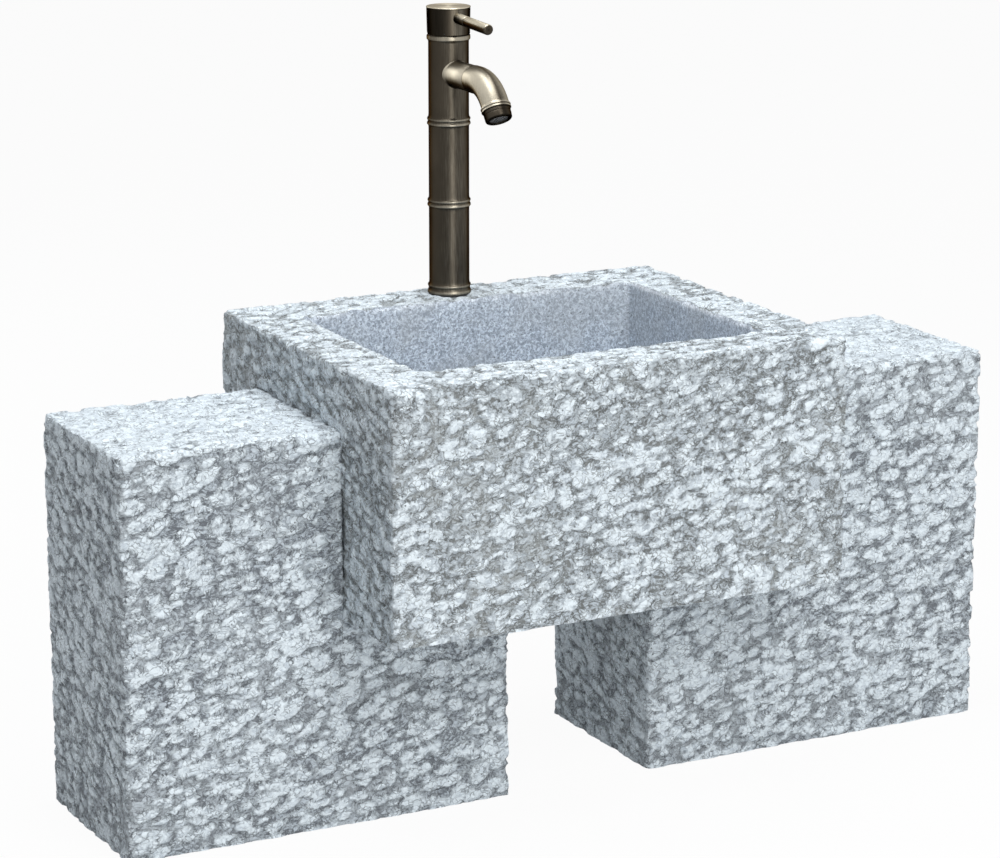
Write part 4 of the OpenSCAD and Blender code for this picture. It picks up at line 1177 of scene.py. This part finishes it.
class FOUNTAIN_OT_handle(bpy.types.Operator):
    """Handle: a turned cap with a bevelled back foot and a top painted pale as a reflection of the light from
    above, and the lever pin
    """

    bl_idname = "fountain.handle"
    bl_label = "Handle"

    def execute(self, context):
        tap = TAP()
        low, high, _ = span("handle_cap")
        top_r = (high[0] - low[0]) / 2 - 0.0002
        foot_r = top_r - tap.cap_flare
        # Height of the tilting axis
        pivot = low[2] + 0.012
        self.cap(tap, low[2], high[2], foot_r, top_r, pivot)
        self.lever(tap, foot_r, pivot)
        return {"FINISHED"}

    @staticmethod
    def cap(tap, foot, top, foot_r, top_r, pivot):
        """Turned cap, hollow, with its back foot planed off, so that it can tilt back over the head ring."""
        axis = tap_axis()
        count = 128
        hollow, neck, middle = foot_r - 0.0024, 0.0125, 0.0004
        out = [(hollow, foot), (foot_r - 0.0003, foot), (foot_r, foot + 0.0004)]
        out += [(top_r - 0.0001, top - 0.0021), (top_r - 0.0003, top - 0.0016),
                (top_r + 0.0001, top - 0.0011), (top_r + 0.0002, top - 0.0004), (top_r - 0.0003, top),
                (top_r - 0.003, top), (top_r * 0.5, top), (middle, top)]
        out += [(middle, foot + 0.02), (neck, foot + 0.02), (neck, foot + 0.0153), (0.0164, foot + 0.0153),
                (hollow, foot + 0.010)]
        profile = soften(out, 0.0005, closed=True)
        rings = turned(profile, (axis[0], axis[1], 0.0), count)
        start = axis[1] + (pivot - foot) * math.tan(tap.lift_angle / 2)
        plane = foot + (rings[..., 1] - start) * math.tan(tap.lift_angle)
        rings[..., 2] = np.maximum(rings[..., 2], plane)
        r, z = profile.T
        # On the flat top the mark of 1.4 paints a pale reflection of the light from above; below the top's
        # edge the mark rises across the bead as worn gold
        wear_and_painted_light = np.where((z > top - 0.0003) & (r < top_r), 1.4, np.clip((z - top + 0.0014) / 0.0008, 0, 1))
        wear_and_painted_light = np.repeat(wear_and_painted_light, count)
        cap = in_brass("handle_cap_turned", skin(rings, wrapped=True), "handle_cap", wear_and_painted_light, "handle")
        # Hole for the index plug on the cap's back
        low, high, centre = span("index_plug")
        plug_r = (high[0] - low[0]) / 2 + 0.00005
        hole = across(centre, [(plug_r, low[1] - 0.0001), (plug_r, high[1] + 0.01)], 40)
        cut_away(cap, hole, "antique_brass")
        smooth(cap.data, BORED_SHARP)
        # Painted highlight: a narrow upright band on the front of the cap; painted shade darkens the rest of
        # its side
        paint_highlight_and_shade(cap, (-0.12, -1, 0), -0.4, 0.28, 9)

    @staticmethod
    def lever(tap, foot_r, pivot):
        """Round lever with a slim seam: it starts in the cap's wall and points a little down, from above the
        tilting axis."""
        axis = tap_axis()
        low, high, _ = span("lever_pin")
        q, count = (high[0] - low[0]) / 2, 64
        cos, sin = math.cos(tap.lever_droop), math.sin(tap.lever_droop)
        tip = (axis[1] - low[1] - q * sin) / cos
        near, seat, stud = foot_r - 0.0081, foot_r - 0.0007, 0.0025
        seam = seat + 0.3 * (tip - seat)
        out = [(stud, near), (stud, seat), (q - 0.0003, seat), (q, seat + 0.0003), (q, seam - 0.0005),
               (q - 0.0005, seam), (q, seam + 0.0005), (q, tip - 0.0014), (q - 0.0005, tip - 0.0004),
               (q - 0.0014, tip), (q * 0.4, tip)]
        profile = soften(out, 0.0004)
        start = np.array([axis[0], axis[1], pivot + tap.lever_rise])

        def path(s):
            way = np.array([0.0, -cos, -sin])
            return start + s[:, None] * way, np.broadcast_to(way, (len(s), 3))

        wear_and_painted_light = np.r_[np.repeat(np.where(profile[:, 1] > tip - 0.0008, 0.3, 0.1), count), 0.0, 0.0]
        lever = in_brass("lever_rod", skin(carried(profile, path, count)), "lever_pin", wear_and_painted_light, "handle")
        # Painted highlight along the lever's top, and painted shade along its underside
        paint_highlight_and_shade(lever, (-0.45, -0.1, 0.85), -0.3, 1.0, 3)


class FOUNTAIN_OT_trim(bpy.types.Operator):
    """Small turned pieces that show: the foot's gasket and the index button on the cap's back"""

    bl_idname = "fountain.trim"
    bl_label = "Trim"

    def execute(self, context):
        low, high, mid = span("base_gasket")
        r, width = mid[0] - low[0], 0.004
        out = [(r - width, low[2]), (r, low[2]), (r, high[2]), (r - width, high[2])]
        rings = turned(soften(out, 0.0003, closed=True), (mid[0], mid[1], 0), 112)
        in_slot("foot_gasket", skin(rings, wrapped=True), "base_gasket", "fountain")

        low, high, mid = span("index_plug")
        r = mid[0] - low[0]
        rows = [(r * 0.96, low[1]), (r, low[1] + 0.0002), (r, high[1] - 0.0004), (r * 0.8, high[1] - 0.0001),
                (r * 0.4, high[1])]
        in_slot("index_button", skin(across(mid, rows, 32)), "index_plug", "handle")
        return {"FINISHED"}


class FOUNTAIN_PT_panel(bpy.types.Panel):
    """Lists the operators and the settings in the 3D view's sidebar"""

    bl_idname = "FOUNTAIN_PT_panel"
    bl_label = "Granite garden fountain"
    bl_space_type = "VIEW_3D"
    bl_region_type = "UI"
    bl_category = "Fountain"

    def draw(self, context):
        for operator in OPERATORS:
            self.layout.operator(operator.bl_idname)
        for group in (STONE(), TAP(), STAGE()):
            box = self.layout.box()
            for name in group.__annotations__:
                box.prop(group, name)


OPERATORS = (
    FOUNTAIN_OT_stage,
    FOUNTAIN_OT_plumbing,
    FOUNTAIN_OT_left_pedestal,
    FOUNTAIN_OT_right_pedestal,
    FOUNTAIN_OT_basin,
    FOUNTAIN_OT_tap_column,
    FOUNTAIN_OT_spout,
    FOUNTAIN_OT_handle,
    FOUNTAIN_OT_trim,
)
GROUPS = {"fountain_stone": StoneSettings, "fountain_tap": TapSettings, "fountain_stage": StageSettings}


def register():
    for group in GROUPS.values():
        bpy.utils.register_class(group)
    for name, group in GROUPS.items():
        setattr(bpy.types.Scene, name, bpy.props.PointerProperty(type=group))
    for operator in OPERATORS:
        bpy.utils.register_class(operator)
    bpy.utils.register_class(FOUNTAIN_PT_panel)


def unregister():
    bpy.utils.unregister_class(FOUNTAIN_PT_panel)
    for operator in reversed(OPERATORS):
        bpy.utils.unregister_class(operator)
    for name in GROUPS:
        delattr(bpy.types.Scene, name)
    for group in GROUPS.values():
        bpy.utils.unregister_class(group)


def main():
    register()
    bpy.ops.fountain.stage()
    bpy.ops.fountain.plumbing()
    bpy.ops.fountain.left_pedestal()
    bpy.ops.fountain.right_pedestal()
    bpy.ops.fountain.basin()
    bpy.ops.fountain.tap_column()
    bpy.ops.fountain.spout()
    bpy.ops.fountain.handle()
    bpy.ops.fountain.trim()


if __name__ == "__main__":
    main()
